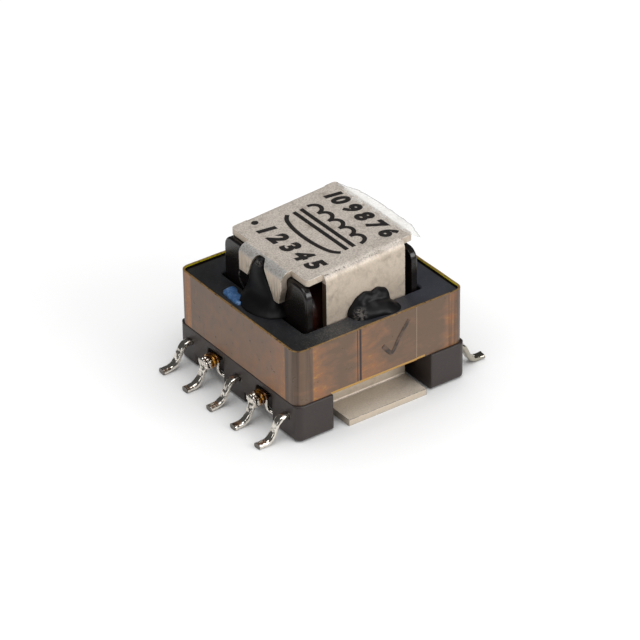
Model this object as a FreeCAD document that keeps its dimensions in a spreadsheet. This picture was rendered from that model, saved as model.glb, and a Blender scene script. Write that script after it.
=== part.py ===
import FreeCAD, Part
import math
import os
from types import SimpleNamespace

import Sketcher
from FreeCAD import Placement, Rotation, Vector

# A small surface-mount transformer for a printed circuit board.
# Two flat ferrite E halves stand on the pin rails of a moulded bobbin, and tape binds them.
# The fine winding sits on the bobbin round the centre leg. One bent strip is the single heavy turn.
# Frame: millimetres, +Z up, the board at Z = 0, the centre leg along X, the origin under the middle.

SIZES = {
    # ferrite core
    "core_length": 12.8,
    "core_width": 12.6,
    "core_height": 3.7,
    "core_corner": 0.45,
    "window_length": 9.2,
    "window_width": 9.2,
    "window_corner": 0.2,
    "leg_width": 3.7,
    "core_chamfer": 0.08,
    # bobbin
    "standoff": 0.06,
    "rail_height": 2.6,
    "rail_overhang": 0.2,
    "rail_end": 0.3,
    "rail_corner": 0.45,
    "rail_rim": 0.2,
    "flange_lift": 0.5,
    "seat_height": 0.1,
    "seat_margin": 0.45,
    "leg_clearance": 0.1,
    "tube_wall": 0.45,
    "tube_corner": 0.3,
    "flange_wall": 0.5,
    "flange_clearance": 0.25,
    "flange_rise": 2.9,
    "flange_corner": 0.8,
    "flange_edge": 0.15,
    # notches and channels for the lead-out wires
    "notch_wire_side": 1.15,
    "notch_free_side": 0.68,
    "notch_clearance": 0.21,
    "notch_round": 0.3,
    "notch_depth": 1.0,
    "slot_reach": 2.05,
    "slot_height": 0.85,
    "channel_half_width": 0.24,
    "channel_height": 0.56,
    # pins
    "pin_pitch": 2.7,
    "pin_width": 0.6,
    "pin_thickness": 0.32,
    "pin_chamfer": 0.09,
    "pin_clearance": 0.01,
    "pin_exit": 1.62,
    "pin_inset": 1.7,
    "pin_knee": 0.7,
    "pin_ankle": 1.16,
    "pin_toe": 2.32,
    "pin_bend": 0.42,
    # winding and its wrap
    "winding_gap": 0.05,
    "wrap_thickness": 0.12,
    "wrap_clearance": 0.23,
    # heavy turn: one bent strip
    "strip_thickness": 0.45,
    "strip_width": 6.12,
    "strip_shift": 0.27,
    "strip_clearance": 0.1,
    "strip_bend": 0.15,
    "tab_overhang": 0.2,
    "plate_gap": 0.03,
    "plate_slope": 0.067,
    "lip_inset": 0.33,
    "lip_left_setback": 0.36,
    "lip_right_setback": 0.15,
    "lip_corner": 0.25,
    # tongue folded over the flange, cut to two claws
    "tongue_left": 2.14,
    "tongue_right": 2.5,
    "tongue_drop": 2.3,
    "tongue_bend": 0.2,
    "slot_rise": 0.44,
    "slot_round": 0.42,
    "slot_left": 0.5,
    "slot_right": 0.38,
    "slot_spread_left": 0.72,
    "slot_spread_right": 1.3,
    "claw_left_drop": 1.31,
    "claw_tip_drop": 1.81,
    "claw_tip_width": 0.5,
    "claw_shoulder_drop": 0.66,
    # tape round the core
    "tape_excess": 0.32,
    "tape_thickness": 0.16,
    "tape_overlap": 0.05,
    "tape_start": 1.7,
    "tape_end": 2.77,
    # clear film on the plate
    "film_thickness": 0.06,
    "film_lap": 0.9,
    "film_overhang": 0.58,
    "film_left_inset": 0.47,
    "film_right_overhang": 0.68,
    "film_slant": 0.6,
    "film_corner": 0.35,
    "film_bow": 1.4,
    "film_bow_start": 1.8,
    # glue
    "front_glue_left": 1.2,
    "front_glue_right": 2.05,
    "front_glue_margin": 0.3,
    "front_glue_height": 1.3,
    "front_glue_round": 0.6,
    "claw_glue_drop": 0.06,
    "claw_glue_half_width": 0.36,
    "claw_glue_foot_left": 1.12,
    "claw_glue_foot_right": 2.0,
    "claw_glue_thickness": 0.38,
    "claw_glue_margin": 0.6,
    "claw_glue_round": 0.3,
    "blue_glue_height": 0.32,
    "blue_glue_inset": 0.9,
    "blue_glue_y": 1.95,
    "blue_glue_length": 1.15,
    "blue_glue_width": 1.5,
    "blue_glue_cut": 0.6,
    # lead-out wires
    "wire_radius": 0.13,
    "wire_gap": 0.015,
    "wire_pin_gap": 0.01,
    "wire_start": 0.25,
    "lead_height": 0.28,
    "solder_gap": 0.03,
    "solder_length": 0.52,
    "solder_end": 0.16,
    "solder_hump": 0.32,
    "solder_waist": 0.26,
}

# Cross sections of the glue from its foot up: the share of the height, then the shares of each size there
FRONT_GLUE_STEPS = ((0, 1, 1), (0.4, 0.86, 0.66), (0.8, 0.66, 0.36), (1, 0.44, 0.14))
CLAW_GLUE_STEPS = (
    (0, 1, 1, 1),
    (0.2, 0.75, 0.74, 0.42),
    (0.45, 0.5, 0.5, 0.16),
    (0.75, 0.2, 0.2, 0.06),
    (1, 0, 0, 0),
)
BLUE_GLUE_STEPS = ((0, 1), (0.6, 0.86), (1, 0.5))
PINS_PER_ROW = 5
WIRE_TURNS = 2
WIRE_SIDES = 8
SHARP_CORNERS = 1

doc = FreeCAD.newDocument("transformer")
sheet = doc.addObject("Spreadsheet::Sheet", "Sizes")
for row, (name, value) in enumerate(SIZES.items(), start=1):
    sheet.set(f"A{row}", name)
    sheet.set(f"B{row}", str(value))
    sheet.setAlias(f"B{row}", name)
doc.recompute()


class Size:
    """A length: its number now, and the expression over the sheet that gives it."""

    def __init__(self, number, text):
        self.number = number
        self.text = text

    def __add__(self, other):
        other = as_size(other)
        return Size(self.number + other.number, f"({self.text} + {other.text})")

    def __sub__(self, other):
        other = as_size(other)
        return Size(self.number - other.number, f"({self.text} - {other.text})")

    def __mul__(self, other):
        other = as_size(other)
        return Size(self.number * other.number, f"({self.text} * {other.text})")

    def __truediv__(self, other):
        other = as_size(other)
        return Size(self.number / other.number, f"({self.text} / {other.text})")

    def __neg__(self):
        return Size(-self.number, f"(-1 * {self.text})")


def as_size(value):
    return value if isinstance(value, Size) else Size(float(value), str(value))


def slope_angle(slope):
    return Size(math.degrees(math.atan(slope.number)), f"atan({slope.text})")


s = SimpleNamespace(**{name: Size(float(sheet.get(name)), f"Sizes.{name}") for name in SIZES})

# Places that several pieces share
rail_top = s.standoff + s.rail_height
rail_outside = s.core_length / 2 + s.rail_overhang
rail_half_length = s.core_width / 2 + s.rail_end
core_base = rail_top + s.seat_height
core_top = core_base + s.core_height
core_middle = core_base + s.core_height / 2
flange_outside = s.window_length / 2 - s.flange_clearance
flange_inside = flange_outside - s.flange_wall
flange_top = core_top + s.flange_rise
passage_y = s.leg_width / 2 + s.leg_clearance
passage_z = s.core_height / 2 + s.leg_clearance
tube_y = passage_y + s.tube_wall
tube_z = passage_z + s.tube_wall
strip_outside = s.window_width / 2 - s.strip_clearance
strip_inside = strip_outside - s.strip_thickness
strip_left = s.strip_shift - s.strip_width / 2
strip_right = s.strip_shift + s.strip_width / 2
tab_end = rail_half_length + s.tab_overhang
lip_half_width = strip_outside - s.lip_inset
winding_build = strip_inside - s.wrap_clearance - s.wrap_thickness - tube_y
claw_inside = flange_outside + s.plate_gap
claw_outside = claw_inside + s.strip_thickness
lip_left = claw_inside - s.lip_left_setback
lip_right = flange_outside - s.lip_right_setback
wrap_side = s.pin_width / 2 + s.wire_pin_gap + s.wire_radius
wrap_rise = s.pin_thickness / 2 + s.wire_pin_gap + s.wire_radius
wrap_start = -(rail_outside - s.wire_start)
wrap_step = s.wire_radius * 2 + s.wire_gap
wrap_end = wrap_start - wrap_step * WIRE_TURNS
tape_width = s.core_height + s.tape_excess


def plate_top(x):
    """Height of the strip's upper face, which rests on the left flange and climbs to the right."""
    start = flange_top + s.plate_gap + s.strip_thickness
    return start + (as_size(x) + flange_outside) * s.plate_slope


def bind(item, name, size):
    item.setExpression(name, as_size(size).text)


def new_body(label):
    body = doc.addObject("PartDesign::Body", label)
    body.Label = label
    return body


def new_sketch(body, role, offset=0, lift=0):
    """A sketch on one of the body's own planes, moved along the plane's normal and up the plane."""
    plane = [item for item in body.Origin.OriginFeatures if item.Role == role][0]
    sketch = body.newObject("Sketcher::SketchObject", f"{body.Name}_sketch")
    sketch.AttachmentSupport = [(plane, "")]
    sketch.MapMode = "FlatFace"
    sketch.AttachmentOffset = Placement(Vector(0, as_size(lift).number, as_size(offset).number), Rotation())
    bind(sketch, "AttachmentOffset.Base.y", lift)
    bind(sketch, "AttachmentOffset.Base.z", offset)
    return sketch


def constrain(sketch, *constraint):
    return sketch.addConstraint(Sketcher.Constraint(*constraint))


def hold_point(sketch, point, x, y):
    """Hold a point of the sketch at the place that two sizes give."""
    for kind, size, axis in (("DistanceX", x, -2), ("DistanceY", y, -1)):
        if size.number == 0:
            constrain(sketch, "PointOnObject", point, 1, axis)
            continue
        index = constrain(sketch, kind, -1, 1, point, 1, size.number)
        sketch.setExpression(f"Constraints[{index}]", size.text)


def draw_outline(sketch, corners, closed=True):
    """Straight sides through the corners (x, y) or (x, y, radius), with an arc at each radius."""
    places = [Vector(as_size(c[0]).number, as_size(c[1]).number, 0) for c in corners]
    radii = [as_size(c[2]) if len(c) > 2 else None for c in corners]
    count = len(corners)
    starts = list(places)
    ends = list(places)
    arcs = [None] * count
    for i in range(count):
        if radii[i] is None:
            continue
        here = places[i]
        back = (places[i - 1] - here).normalize()
        ahead = (places[(i + 1) % count] - here).normalize()
        half = back.getAngle(ahead) / 2
        radius = radii[i].number
        reach = radius / math.tan(half)
        centre = here + (back + ahead).normalize() * (radius / math.sin(half))
        ends[i] = here + back * reach
        starts[i] = here + ahead * reach
        left_turn = back.cross(ahead).z < 0
        first, last = (ends[i], starts[i]) if left_turn else (starts[i], ends[i])
        angle = math.atan2(first.y - centre.y, first.x - centre.x)
        sweep = math.pi - 2 * half
        circle = Part.Circle(centre, Vector(0, 0, 1), radius)
        arcs[i] = (Part.ArcOfCircle(circle, angle, angle + sweep), left_turn)
    lines = []
    for i in range(count if closed else count - 1):
        j = (i + 1) % count
        lines.append(sketch.addGeometry(Part.LineSegment(starts[i], ends[j])))
    for i in range(count):
        point = sketch.addGeometry(Part.Point(places[i]), True)
        hold_point(sketch, point, as_size(corners[i][0]), as_size(corners[i][1]))
        before = lines[i - 1] if closed or i > 0 else None
        after = lines[i] if closed or i < count - 1 else None
        if arcs[i] is None:
            if before is not None:
                constrain(sketch, "Coincident", before, 2, point, 1)
            if after is not None:
                constrain(sketch, "Coincident", after, 1, point, 1)
            continue
        shape, left_turn = arcs[i]
        arc = sketch.addGeometry(shape)
        first, last = (1, 2) if left_turn else (2, 1)
        constrain(sketch, "PointOnObject", point, 1, before)
        constrain(sketch, "PointOnObject", point, 1, after)
        constrain(sketch, "Tangent", before, 2, arc, first)
        constrain(sketch, "Tangent", after, 1, arc, last)
        index = constrain(sketch, "Radius", arc, radii[i].number)
        sketch.setExpression(f"Constraints[{index}]", radii[i].text)


def draw_box(sketch, x_low, x_high, y_low, y_high, radius=None):
    corners = [(x_low, y_low), (x_high, y_low), (x_high, y_high), (x_low, y_high)]
    if radius is not None:
        corners = [corner + (radius,) for corner in corners]
    draw_outline(sketch, corners)


def draw_cut_box(sketch, x, y, half_x, half_y, cut):
    """A box about the point (x, y) whose corners are cut off."""
    x = as_size(x)
    y = as_size(y)
    draw_outline(sketch, [
        (x - half_x + cut, y - half_y),
        (x + half_x - cut, y - half_y),
        (x + half_x, y - half_y + cut),
        (x + half_x, y + half_y - cut),
        (x + half_x - cut, y + half_y),
        (x - half_x + cut, y + half_y),
        (x - half_x, y + half_y - cut),
        (x - half_x, y - half_y + cut),
    ])


def pad(body, sketch, length, symmetric=False):
    feature = body.newObject("PartDesign::Pad", f"{body.Name}_pad")
    feature.Profile = sketch
    bind(feature, "Length", length)
    feature.SideType = "Symmetric" if symmetric else "One side"
    return feature


def pocket(body, sketch, length, forward=False):
    """Cut against the sketch's normal, or along it when forward is set."""
    feature = body.newObject("PartDesign::Pocket", f"{body.Name}_pocket")
    feature.Profile = sketch
    bind(feature, "Length", length)
    feature.Reversed = forward
    return feature


def loft(body, sections, ruled=False):
    feature = body.newObject("PartDesign::AdditiveLoft", f"{body.Name}_loft")
    feature.Profile = sections[0]
    feature.Sections = sections[1:]
    feature.Ruled = ruled
    return feature


def pipe(body, profile, path):
    feature = body.newObject("PartDesign::AdditivePipe", f"{body.Name}_pipe")
    feature.Profile = profile
    feature.Spine = (path, [])
    feature.Mode = "Standard"
    return feature


def dress(body, kind, base, size_name, size, chosen):
    """Fillet or chamfer the edges of the base feature that the test picks."""
    doc.recompute()
    names = [f"Edge{i}" for i, edge in enumerate(base.Shape.Edges, start=1) if chosen(edge)]
    feature = body.newObject(kind, f"{body.Name}_edge")
    feature.Base = (base, names)
    bind(feature, size_name, size)
    return feature


def near(value, size):
    return abs(value - as_size(size).number) < 0.001


# Ferrite core: one E half, used twice, pressed and ground, its legs meeting at X = 0
def make_core_half(label, turn):
    body = new_body(label)
    sketch = new_sketch(body, "XY_Plane", core_base)
    back = -s.core_length / 2
    yoke = -s.window_length / 2
    side = s.core_width / 2
    window = s.window_width / 2
    leg = s.leg_width / 2
    draw_outline(sketch, [
        (back, -side, s.core_corner),
        (0, -side),
        (0, -window),
        (yoke, -window, s.window_corner),
        (yoke, -leg, s.window_corner),
        (0, -leg),
        (0, leg),
        (yoke, leg, s.window_corner),
        (yoke, window, s.window_corner),
        (0, window),
        (0, side),
        (back, side, s.core_corner),
    ])
    block = pad(body, sketch, s.core_height)

    def is_rim(edge):
        flat = near(edge.BoundBox.ZMin, core_top) or near(edge.BoundBox.ZMax, core_base)
        joint = near(edge.BoundBox.XMin, 0)
        return flat and not joint

    dress(body, "PartDesign::Chamfer", block, "Size", s.core_chamfer, is_rim)
    body.Placement = Placement(Vector(0, 0, 0), Rotation(Vector(0, 0, 1), turn))
    return body


# Bobbin: one moulding with a square tube, two flanges and a pin rail under each yoke
def make_bobbin():
    body = new_body("bobbin")
    rails = new_sketch(body, "XY_Plane", s.standoff)
    half = rail_half_length
    for side in (-1, 1):
        inside = flange_inside * side
        outside = rail_outside * side
        draw_outline(rails, [
            (inside, -half * side),
            (outside, -half * side, s.rail_corner),
            (outside, half * side, s.rail_corner),
            (inside, half * side),
        ])
    rail_pad = pad(body, rails, s.rail_height)

    def is_outer_lower_rim(edge):
        box = edge.BoundBox
        inner = near(box.XMin, -flange_inside) and near(box.XMax, -flange_inside)
        inner = inner or near(box.XMin, flange_inside) and near(box.XMax, flange_inside)
        return near(box.ZMax, s.standoff) and not inner

    dress(body, "PartDesign::Fillet", rail_pad, "Radius", s.rail_rim, is_outer_lower_rim)

    # low seats that carry the core inside the tape
    seats = new_sketch(body, "XY_Plane", rail_top)
    seat_inside = s.window_length / 2 + s.seat_margin / 2
    seat_outside = s.core_length / 2 - s.seat_margin
    seat_half = s.core_width / 2 - s.seat_margin
    draw_box(seats, -seat_outside, -seat_inside, -seat_half, seat_half)
    draw_box(seats, seat_inside, seat_outside, -seat_half, seat_half)
    pad(body, seats, s.seat_height)

    # tube
    tube = new_sketch(body, "YZ_Plane", -flange_inside)
    draw_box(tube, -tube_y, tube_y, core_middle - tube_z, core_middle + tube_z, s.tube_corner)
    pad(body, tube, flange_inside * 2)

    # flanges
    for start in (-flange_outside, flange_inside):
        flange = new_sketch(body, "YZ_Plane", start)
        draw_outline(flange, [
            (-strip_outside, s.standoff + s.flange_lift),
            (strip_outside, s.standoff + s.flange_lift),
            (strip_outside, flange_top, s.flange_corner),
            (-strip_outside, flange_top, s.flange_corner),
        ])
        last = pad(body, flange, s.flange_wall)

    def is_flange_rim(edge):
        on_face = edge.BoundBox.XLength < 0.001 and near(abs(edge.CenterOfMass.x), flange_outside)
        return on_face and edge.BoundBox.ZMax > (core_top + s.flange_corner).number

    last = dress(body, "PartDesign::Fillet", last, "Radius", s.flange_edge, is_flange_rim)

    # passage for the centre leg
    passage = new_sketch(body, "YZ_Plane", flange_outside)
    draw_box(passage, -passage_y, passage_y, core_middle - passage_z, core_middle + passage_z)
    pocket(body, passage, flange_outside * 2)

    # pin holes, wire notches and wire channels, the same on both rails after half a turn
    notch_top = s.pin_exit + wrap_rise + s.wire_radius + s.notch_clearance
    reach = PINS_PER_ROW // 2
    for side in (-1, 1):
        face = rail_outside * side
        holes = new_sketch(body, "YZ_Plane", face)
        half_width = s.pin_width / 2 + s.pin_clearance
        low = s.pin_exit - s.pin_thickness / 2 - s.pin_clearance
        high = s.pin_exit + s.pin_thickness / 2 + s.pin_clearance
        for step in range(-reach, reach + 1):
            y = s.pin_pitch * step
            draw_box(holes, y - half_width, y + half_width, low, high)
        pocket(body, holes, s.pin_inset, forward=side < 0)
        notches = new_sketch(body, "YZ_Plane", face)
        channels = new_sketch(body, "YZ_Plane", face)
        for step in (-1, 1):
            pin_y = s.pin_pitch * step
            wire_side = pin_y + s.notch_wire_side * side
            free_side = pin_y - s.notch_free_side * side
            slot_end = pin_y - s.slot_reach * side
            draw_outline(notches, [
                (wire_side, -s.standoff),
                (wire_side, notch_top, s.notch_round),
                (free_side, notch_top, s.notch_round),
                (free_side, s.slot_height),
                (slot_end, s.slot_height),
                (slot_end, -s.standoff),
            ])
            middle = pin_y + wrap_side * side
            draw_box(
                channels,
                middle - s.channel_half_width,
                middle + s.channel_half_width,
                -s.standoff,
                s.channel_height,
            )
        pocket(body, notches, s.notch_depth, forward=side < 0)
        pocket(body, channels, rail_outside - flange_inside, forward=side < 0)
    return body


# Winding: the layers of fine wire on the tube, closed in by the wrap and the flanges
def make_ring(label, inner, inner_corner, thickness):
    """A ring along the tube, its inside this far from the tube's wall and of this thickness."""
    body = new_body(label)
    half = flange_inside - s.winding_gap
    section = new_sketch(body, "YZ_Plane", -half)
    for build, corner in ((inner + thickness, inner_corner + thickness), (inner, inner_corner)):
        side = tube_y + build
        rise = tube_z + build
        draw_box(section, -side, side, core_middle - rise, core_middle + rise, corner)
    pad(body, section, half * 2)
    return body


# Heavy turn: a tinned strip bent round the winding, with a pitched plate, two claws and two tabs
def make_strip():
    body = new_body("primary_strip")
    outer = strip_outside
    inner = strip_inside
    bend_out = s.strip_bend + s.strip_thickness
    sections = []
    for x in (strip_left, strip_right):
        section = new_sketch(body, "YZ_Plane", x)
        top = plate_top(x)
        draw_outline(section, [
            (-tab_end, 0),
            (-inner, 0, bend_out),
            (-inner, top - s.strip_thickness, s.strip_bend),
            (inner, top - s.strip_thickness, s.strip_bend),
            (inner, 0, bend_out),
            (tab_end, 0),
            (tab_end, s.strip_thickness),
            (outer, s.strip_thickness, s.strip_bend),
            (outer, top, bend_out),
            (-outer, top, bend_out),
            (-outer, s.strip_thickness, s.strip_bend),
            (-tab_end, s.strip_thickness),
        ])
        sections.append(section)
    loft(body, sections, ruled=True)

    # flat lips of the plate past the bends
    lips = new_sketch(body, "XZ_Plane")
    for low, high in ((-lip_left, strip_left), (strip_right, lip_right)):
        draw_outline(lips, [
            (low, plate_top(low) - s.strip_thickness),
            (high, plate_top(high) - s.strip_thickness),
            (high, plate_top(high)),
            (low, plate_top(low)),
        ])
    last = pad(body, lips, lip_half_width * 2, symmetric=True)

    def is_lip_corner(edge):
        box = edge.BoundBox
        at_end = near(box.XMax, -lip_left) or near(box.XMin, lip_right)
        return at_end and box.YLength < 0.001 and near(abs(box.YMax), lip_half_width)

    dress(body, "PartDesign::Fillet", last, "Radius", s.lip_corner, is_lip_corner)

    # tongue folded down over the left flange
    tongue = new_sketch(body, "XZ_Plane", -s.tongue_left)
    root = -lip_left + s.strip_thickness
    tip = plate_top(-claw_outside) - s.tongue_drop
    draw_outline(tongue, [
        (root, plate_top(root) - s.strip_thickness),
        (root, plate_top(root)),
        (-claw_outside, plate_top(-claw_outside), s.tongue_bend + s.strip_thickness),
        (-claw_outside, tip),
        (-claw_inside, tip),
        (-claw_inside, plate_top(-claw_inside) - s.strip_thickness, s.tongue_bend),
    ])
    pad(body, tongue, s.tongue_left + s.tongue_right)

    # the slot and the sheared ends that leave two claws
    cut = new_sketch(body, "YZ_Plane", -claw_outside - s.strip_thickness)
    slot_left_low = s.slot_left + s.slot_spread_left
    slot_right_low = -s.slot_right - s.slot_spread_right
    slot_top = flange_top + s.slot_rise
    left_low = flange_top - s.claw_left_drop
    right_low = flange_top - s.claw_tip_drop
    shoulder = flange_top - s.claw_shoulder_drop
    below = tip - s.strip_thickness
    draw_outline(cut, [
        (slot_right_low, right_low),
        (slot_right_low - s.claw_tip_width, right_low),
        (-s.tongue_right, shoulder),
        (-s.tongue_right - s.strip_thickness, shoulder),
        (-s.tongue_right - s.strip_thickness, below),
        (s.tongue_left + s.strip_thickness, below),
        (s.tongue_left + s.strip_thickness, left_low),
        (slot_left_low, left_low),
        (s.slot_left, slot_top, s.slot_round),
        (-s.slot_right, slot_top, s.slot_round),
    ])
    depth = claw_outside + s.strip_thickness - lip_left
    pocket(body, cut, depth, forward=True)
    return body


# Pins: flat tinned wire, bent to a gull wing, moulded into the rails
def make_pin(number):
    body = new_body(f"pin_{number}")
    start = -(rail_outside - s.pin_inset)
    low = s.pin_thickness / 2
    path = new_sketch(body, "XZ_Plane")
    draw_outline(path, [
        (start, s.pin_exit),
        (-(rail_outside + s.pin_knee), s.pin_exit, s.pin_bend),
        (-(rail_outside + s.pin_ankle), low, s.pin_bend),
        (-(rail_outside + s.pin_toe), low),
    ], closed=False)
    section = new_sketch(body, "YZ_Plane", start)
    draw_cut_box(section, 0, s.pin_exit, s.pin_width / 2, low, s.pin_chamfer)
    pipe(body, section, path)
    on_left = number <= PINS_PER_ROW
    middle = (PINS_PER_ROW + 1) // 2
    step = middle - number if on_left else number - PINS_PER_ROW - middle
    turn = 0 if on_left else 180
    body.Placement = Placement(Vector(0, s.pin_pitch.number * step, 0), Rotation(Vector(0, 0, 1), turn))
    bind(body, "Placement.Base.y", s.pin_pitch * step)
    return body


# Tape: several turns of polyimide round the core, with one more turn between its two ends
def make_tape():
    body = new_body("core_tape")
    length = s.core_length / 2
    width = s.core_width / 2
    wall = s.tape_thickness
    ring = new_sketch(body, "XY_Plane", rail_top)
    draw_box(ring, -length - wall, length + wall, -width - wall, width + wall, s.core_corner + wall)
    draw_box(ring, -length, length, -width, width, s.core_corner)
    pad(body, ring, tape_width)
    overlap = new_sketch(body, "XY_Plane", rail_top)
    draw_box(overlap, -s.tape_start, s.tape_end, -width - wall - s.tape_overlap, -width - wall / 2)
    pad(body, overlap, tape_width)
    return body


# Film: a thin clear sheet on the plate that stands out past its ragged right edge
def make_film():
    body = new_body("clear_film")
    sheet_outline = new_sketch(body, "XY_Plane")
    inner = lip_right - s.film_lap
    outer = lip_right + s.film_overhang
    left = lip_half_width - s.film_left_inset
    right = lip_half_width + s.film_right_overhang
    draw_outline(sheet_outline, [
        (inner, -lip_half_width + s.lip_corner),
        (lip_right, -lip_half_width),
        (outer - s.film_slant / 2, -right),
        (outer, -right + s.film_bow_start, s.film_bow),
        (outer, left - s.film_bow_start, s.film_bow),
        (outer - s.film_slant, left, s.film_corner),
        (inner, left, s.film_corner),
    ])
    pad(body, sheet_outline, s.film_thickness)
    height = plate_top(0)
    tilt = slope_angle(s.plate_slope)
    body.Placement = Placement(Vector(0, 0, height.number), Rotation(Vector(0, -1, 0), tilt.number))
    bind(body, "Placement.Base.z", height)
    bind(body, "Placement.Rotation.Angle", tilt)
    return body


# Front glue: a black epoxy mound in the corner between the strip's leg and the core
def make_front_glue():
    body = new_body("front_glue")
    sections = []
    middle = (s.front_glue_right - s.front_glue_left) / 2
    half = (s.front_glue_right + s.front_glue_left) / 2
    longest = s.core_width / 2 - s.front_glue_margin - strip_outside
    for rise, spread, reach in FRONT_GLUE_STEPS:
        section = new_sketch(body, "XY_Plane", core_top + s.front_glue_height * rise)
        left = middle - half * spread
        right = middle + half * spread
        wall = -strip_outside
        front = wall - longest * reach
        corner = longest * reach * s.front_glue_round
        draw_outline(section, [(left, wall), (left, front, corner), (right, front, corner), (right, wall)])
        sections.append(section)
    loft(body, sections)
    return body


# Claw glue: black epoxy that fills the slot between the claws and runs down to the core
def make_claw_glue():
    body = new_body("claw_glue")
    sections = []
    height = s.flange_rise - s.claw_glue_drop
    outside = -flange_outside
    longest = s.core_length / 2 - s.claw_glue_margin - flange_outside
    for rise, left, right, reach in CLAW_GLUE_STEPS:
        section = new_sketch(body, "XY_Plane", core_top + height * rise)
        high = s.claw_glue_half_width + (s.claw_glue_foot_left - s.claw_glue_half_width) * left
        low = s.claw_glue_half_width + (s.claw_glue_foot_right - s.claw_glue_half_width) * right
        front = outside - s.claw_glue_thickness - (longest - s.claw_glue_thickness) * reach
        draw_outline(section, [
            (outside, high),
            (front, high, s.claw_glue_round),
            (front, -low, s.claw_glue_round),
            (outside, -low),
        ])
        sections.append(section)
    loft(body, sections)
    return body


# Blue glue: a dab of coloured locking compound on the core's top
def make_blue_glue():
    body = new_body("blue_glue")
    sections = []
    middle = -(s.core_length / 2 - s.blue_glue_inset)
    for rise, share in BLUE_GLUE_STEPS:
        section = new_sketch(body, "XY_Plane", core_top + s.blue_glue_height * rise)
        half_x = s.blue_glue_length / 2 * share
        half_y = s.blue_glue_width / 2 * share
        draw_cut_box(section, middle, s.blue_glue_y, half_x, half_y, half_x * s.blue_glue_cut)
        sections.append(section)
    loft(body, sections, ruled=True)
    return body


# Lead-outs: the winding's two ends, led through a channel and turned round pins 2 and 4
def make_lead(label, step):
    pin_y = s.pin_pitch.number * step
    side = wrap_side.number
    low = s.pin_exit.number - wrap_rise.number
    high = s.pin_exit.number + wrap_rise.number
    knee = -(rail_outside - s.notch_depth / 2).number
    points = [
        Vector(-flange_inside.number, pin_y - side, s.lead_height.number),
        Vector(knee, pin_y - side, s.lead_height.number),
    ]
    corners = [(-side, high), (side, high), (side, low), (-side, low)]
    for i in range(len(corners) * WIRE_TURNS + 1):
        across, height = corners[i % len(corners)]
        along = wrap_start.number - wrap_step.number * i / len(corners)
        points.append(Vector(along, pin_y + across, height))
    path = Part.makePolygon(points)
    spokes = [
        Rotation(Vector(1, 0, 0), i * 360 / WIRE_SIDES).multVec(Vector(0, s.wire_radius.number, 0))
        for i in range(WIRE_SIDES)
    ]
    section = Part.makePolygon([points[0] + spoke for spoke in spokes + spokes[:1]])
    lead = doc.addObject("Part::Feature", label)
    lead.Label = label
    lead.Shape = path.makePipeShell([section], True, False, SHARP_CORNERS)
    return lead


# Solder: the outer turns, tinned and filled to a bright lump round the pin
def make_solder(label, pin, step):
    lump = new_body(f"{label}_lump")
    first = wrap_end - s.wire_radius - s.solder_gap
    last = first - s.solder_length
    profile = new_sketch(lump, "XZ_Plane", -s.pin_pitch * step, s.pin_exit)
    draw_outline(profile, [
        (first, 0),
        (first, s.pin_width / 2 + s.solder_end),
        (first - s.solder_length / 4, s.pin_width / 2 + s.solder_hump),
        (first - s.solder_length / 2, s.pin_width / 2 + s.solder_waist),
        (last + s.solder_length / 4, s.pin_width / 2 + s.solder_hump),
        (last, s.pin_width / 2 + s.solder_end),
        (last, 0),
    ])
    turned = lump.newObject("PartDesign::Revolution", f"{label}_turned")
    turned.Profile = profile
    turned.ReferenceAxis = (profile, ["H_Axis"])
    turned.Angle = 360
    cut = doc.addObject("Part::Cut", label)
    cut.Label = label
    cut.Base = lump
    cut.Tool = pin
    return cut


parts = [make_core_half("core_half_left", 0), make_core_half("core_half_right", 180), make_bobbin()]
parts.append(make_ring("secondary_winding", as_size(0), s.tube_corner, winding_build))
parts.append(make_ring("winding_wrap", winding_build, s.tube_corner + winding_build, s.wrap_thickness))
parts.append(make_strip())
pins = {number: make_pin(number) for number in range(1, PINS_PER_ROW * 2 + 1)}
parts.extend(pins.values())
parts.append(make_tape())
parts.append(make_film())
parts.append(make_front_glue())
parts.append(make_claw_glue())
parts.append(make_blue_glue())
parts.append(make_lead("start_lead", 1))
parts.append(make_lead("finish_lead", -1))
parts.append(make_solder("start_solder", pins[2], 1))
parts.append(make_solder("finish_solder", pins[4], -1))
doc.recompute()

for item in doc.Objects:
    if "Invalid" in item.State or "Error" in item.State:
        raise RuntimeError(f"{item.Name} did not build: {item.State}")
for part in parts:
    if part.Shape.isNull() or not part.Shape.isValid():
        raise RuntimeError(f"{part.Label} has no valid shape")
    print(f"{part.Label:20s} {part.Shape.Volume:9.3f} mm3 {len(part.Shape.Solids)} solid")

os.makedirs("parts", exist_ok=True)
for part in parts:
    part.Shape.exportStep(os.path.join("parts", f"{part.Label}.step"))
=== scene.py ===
import bmesh
import bpy
import math
from mathutils import Matrix, Vector, noise


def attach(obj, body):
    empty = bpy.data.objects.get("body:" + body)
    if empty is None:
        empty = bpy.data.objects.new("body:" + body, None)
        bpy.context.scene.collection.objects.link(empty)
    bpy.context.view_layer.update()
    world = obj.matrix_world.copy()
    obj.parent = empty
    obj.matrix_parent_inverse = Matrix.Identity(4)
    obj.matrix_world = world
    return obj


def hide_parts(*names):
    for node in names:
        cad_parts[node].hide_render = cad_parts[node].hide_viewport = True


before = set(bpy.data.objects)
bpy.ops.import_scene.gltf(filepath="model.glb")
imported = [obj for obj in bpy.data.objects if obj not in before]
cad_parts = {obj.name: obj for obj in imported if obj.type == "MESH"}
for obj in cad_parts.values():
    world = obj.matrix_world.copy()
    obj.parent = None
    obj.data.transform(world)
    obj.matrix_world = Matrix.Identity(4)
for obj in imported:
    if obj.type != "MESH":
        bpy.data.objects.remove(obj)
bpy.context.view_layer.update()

# Camera: a long lens 25 cm from the part, 32 degrees above the board.
# Its angles and focal length were matched to the pins, the core and the plate.
MM = 0.001
CAMERA_YAW = math.radians(-35.24)
CAMERA_PITCH = math.radians(31.98)
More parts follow.
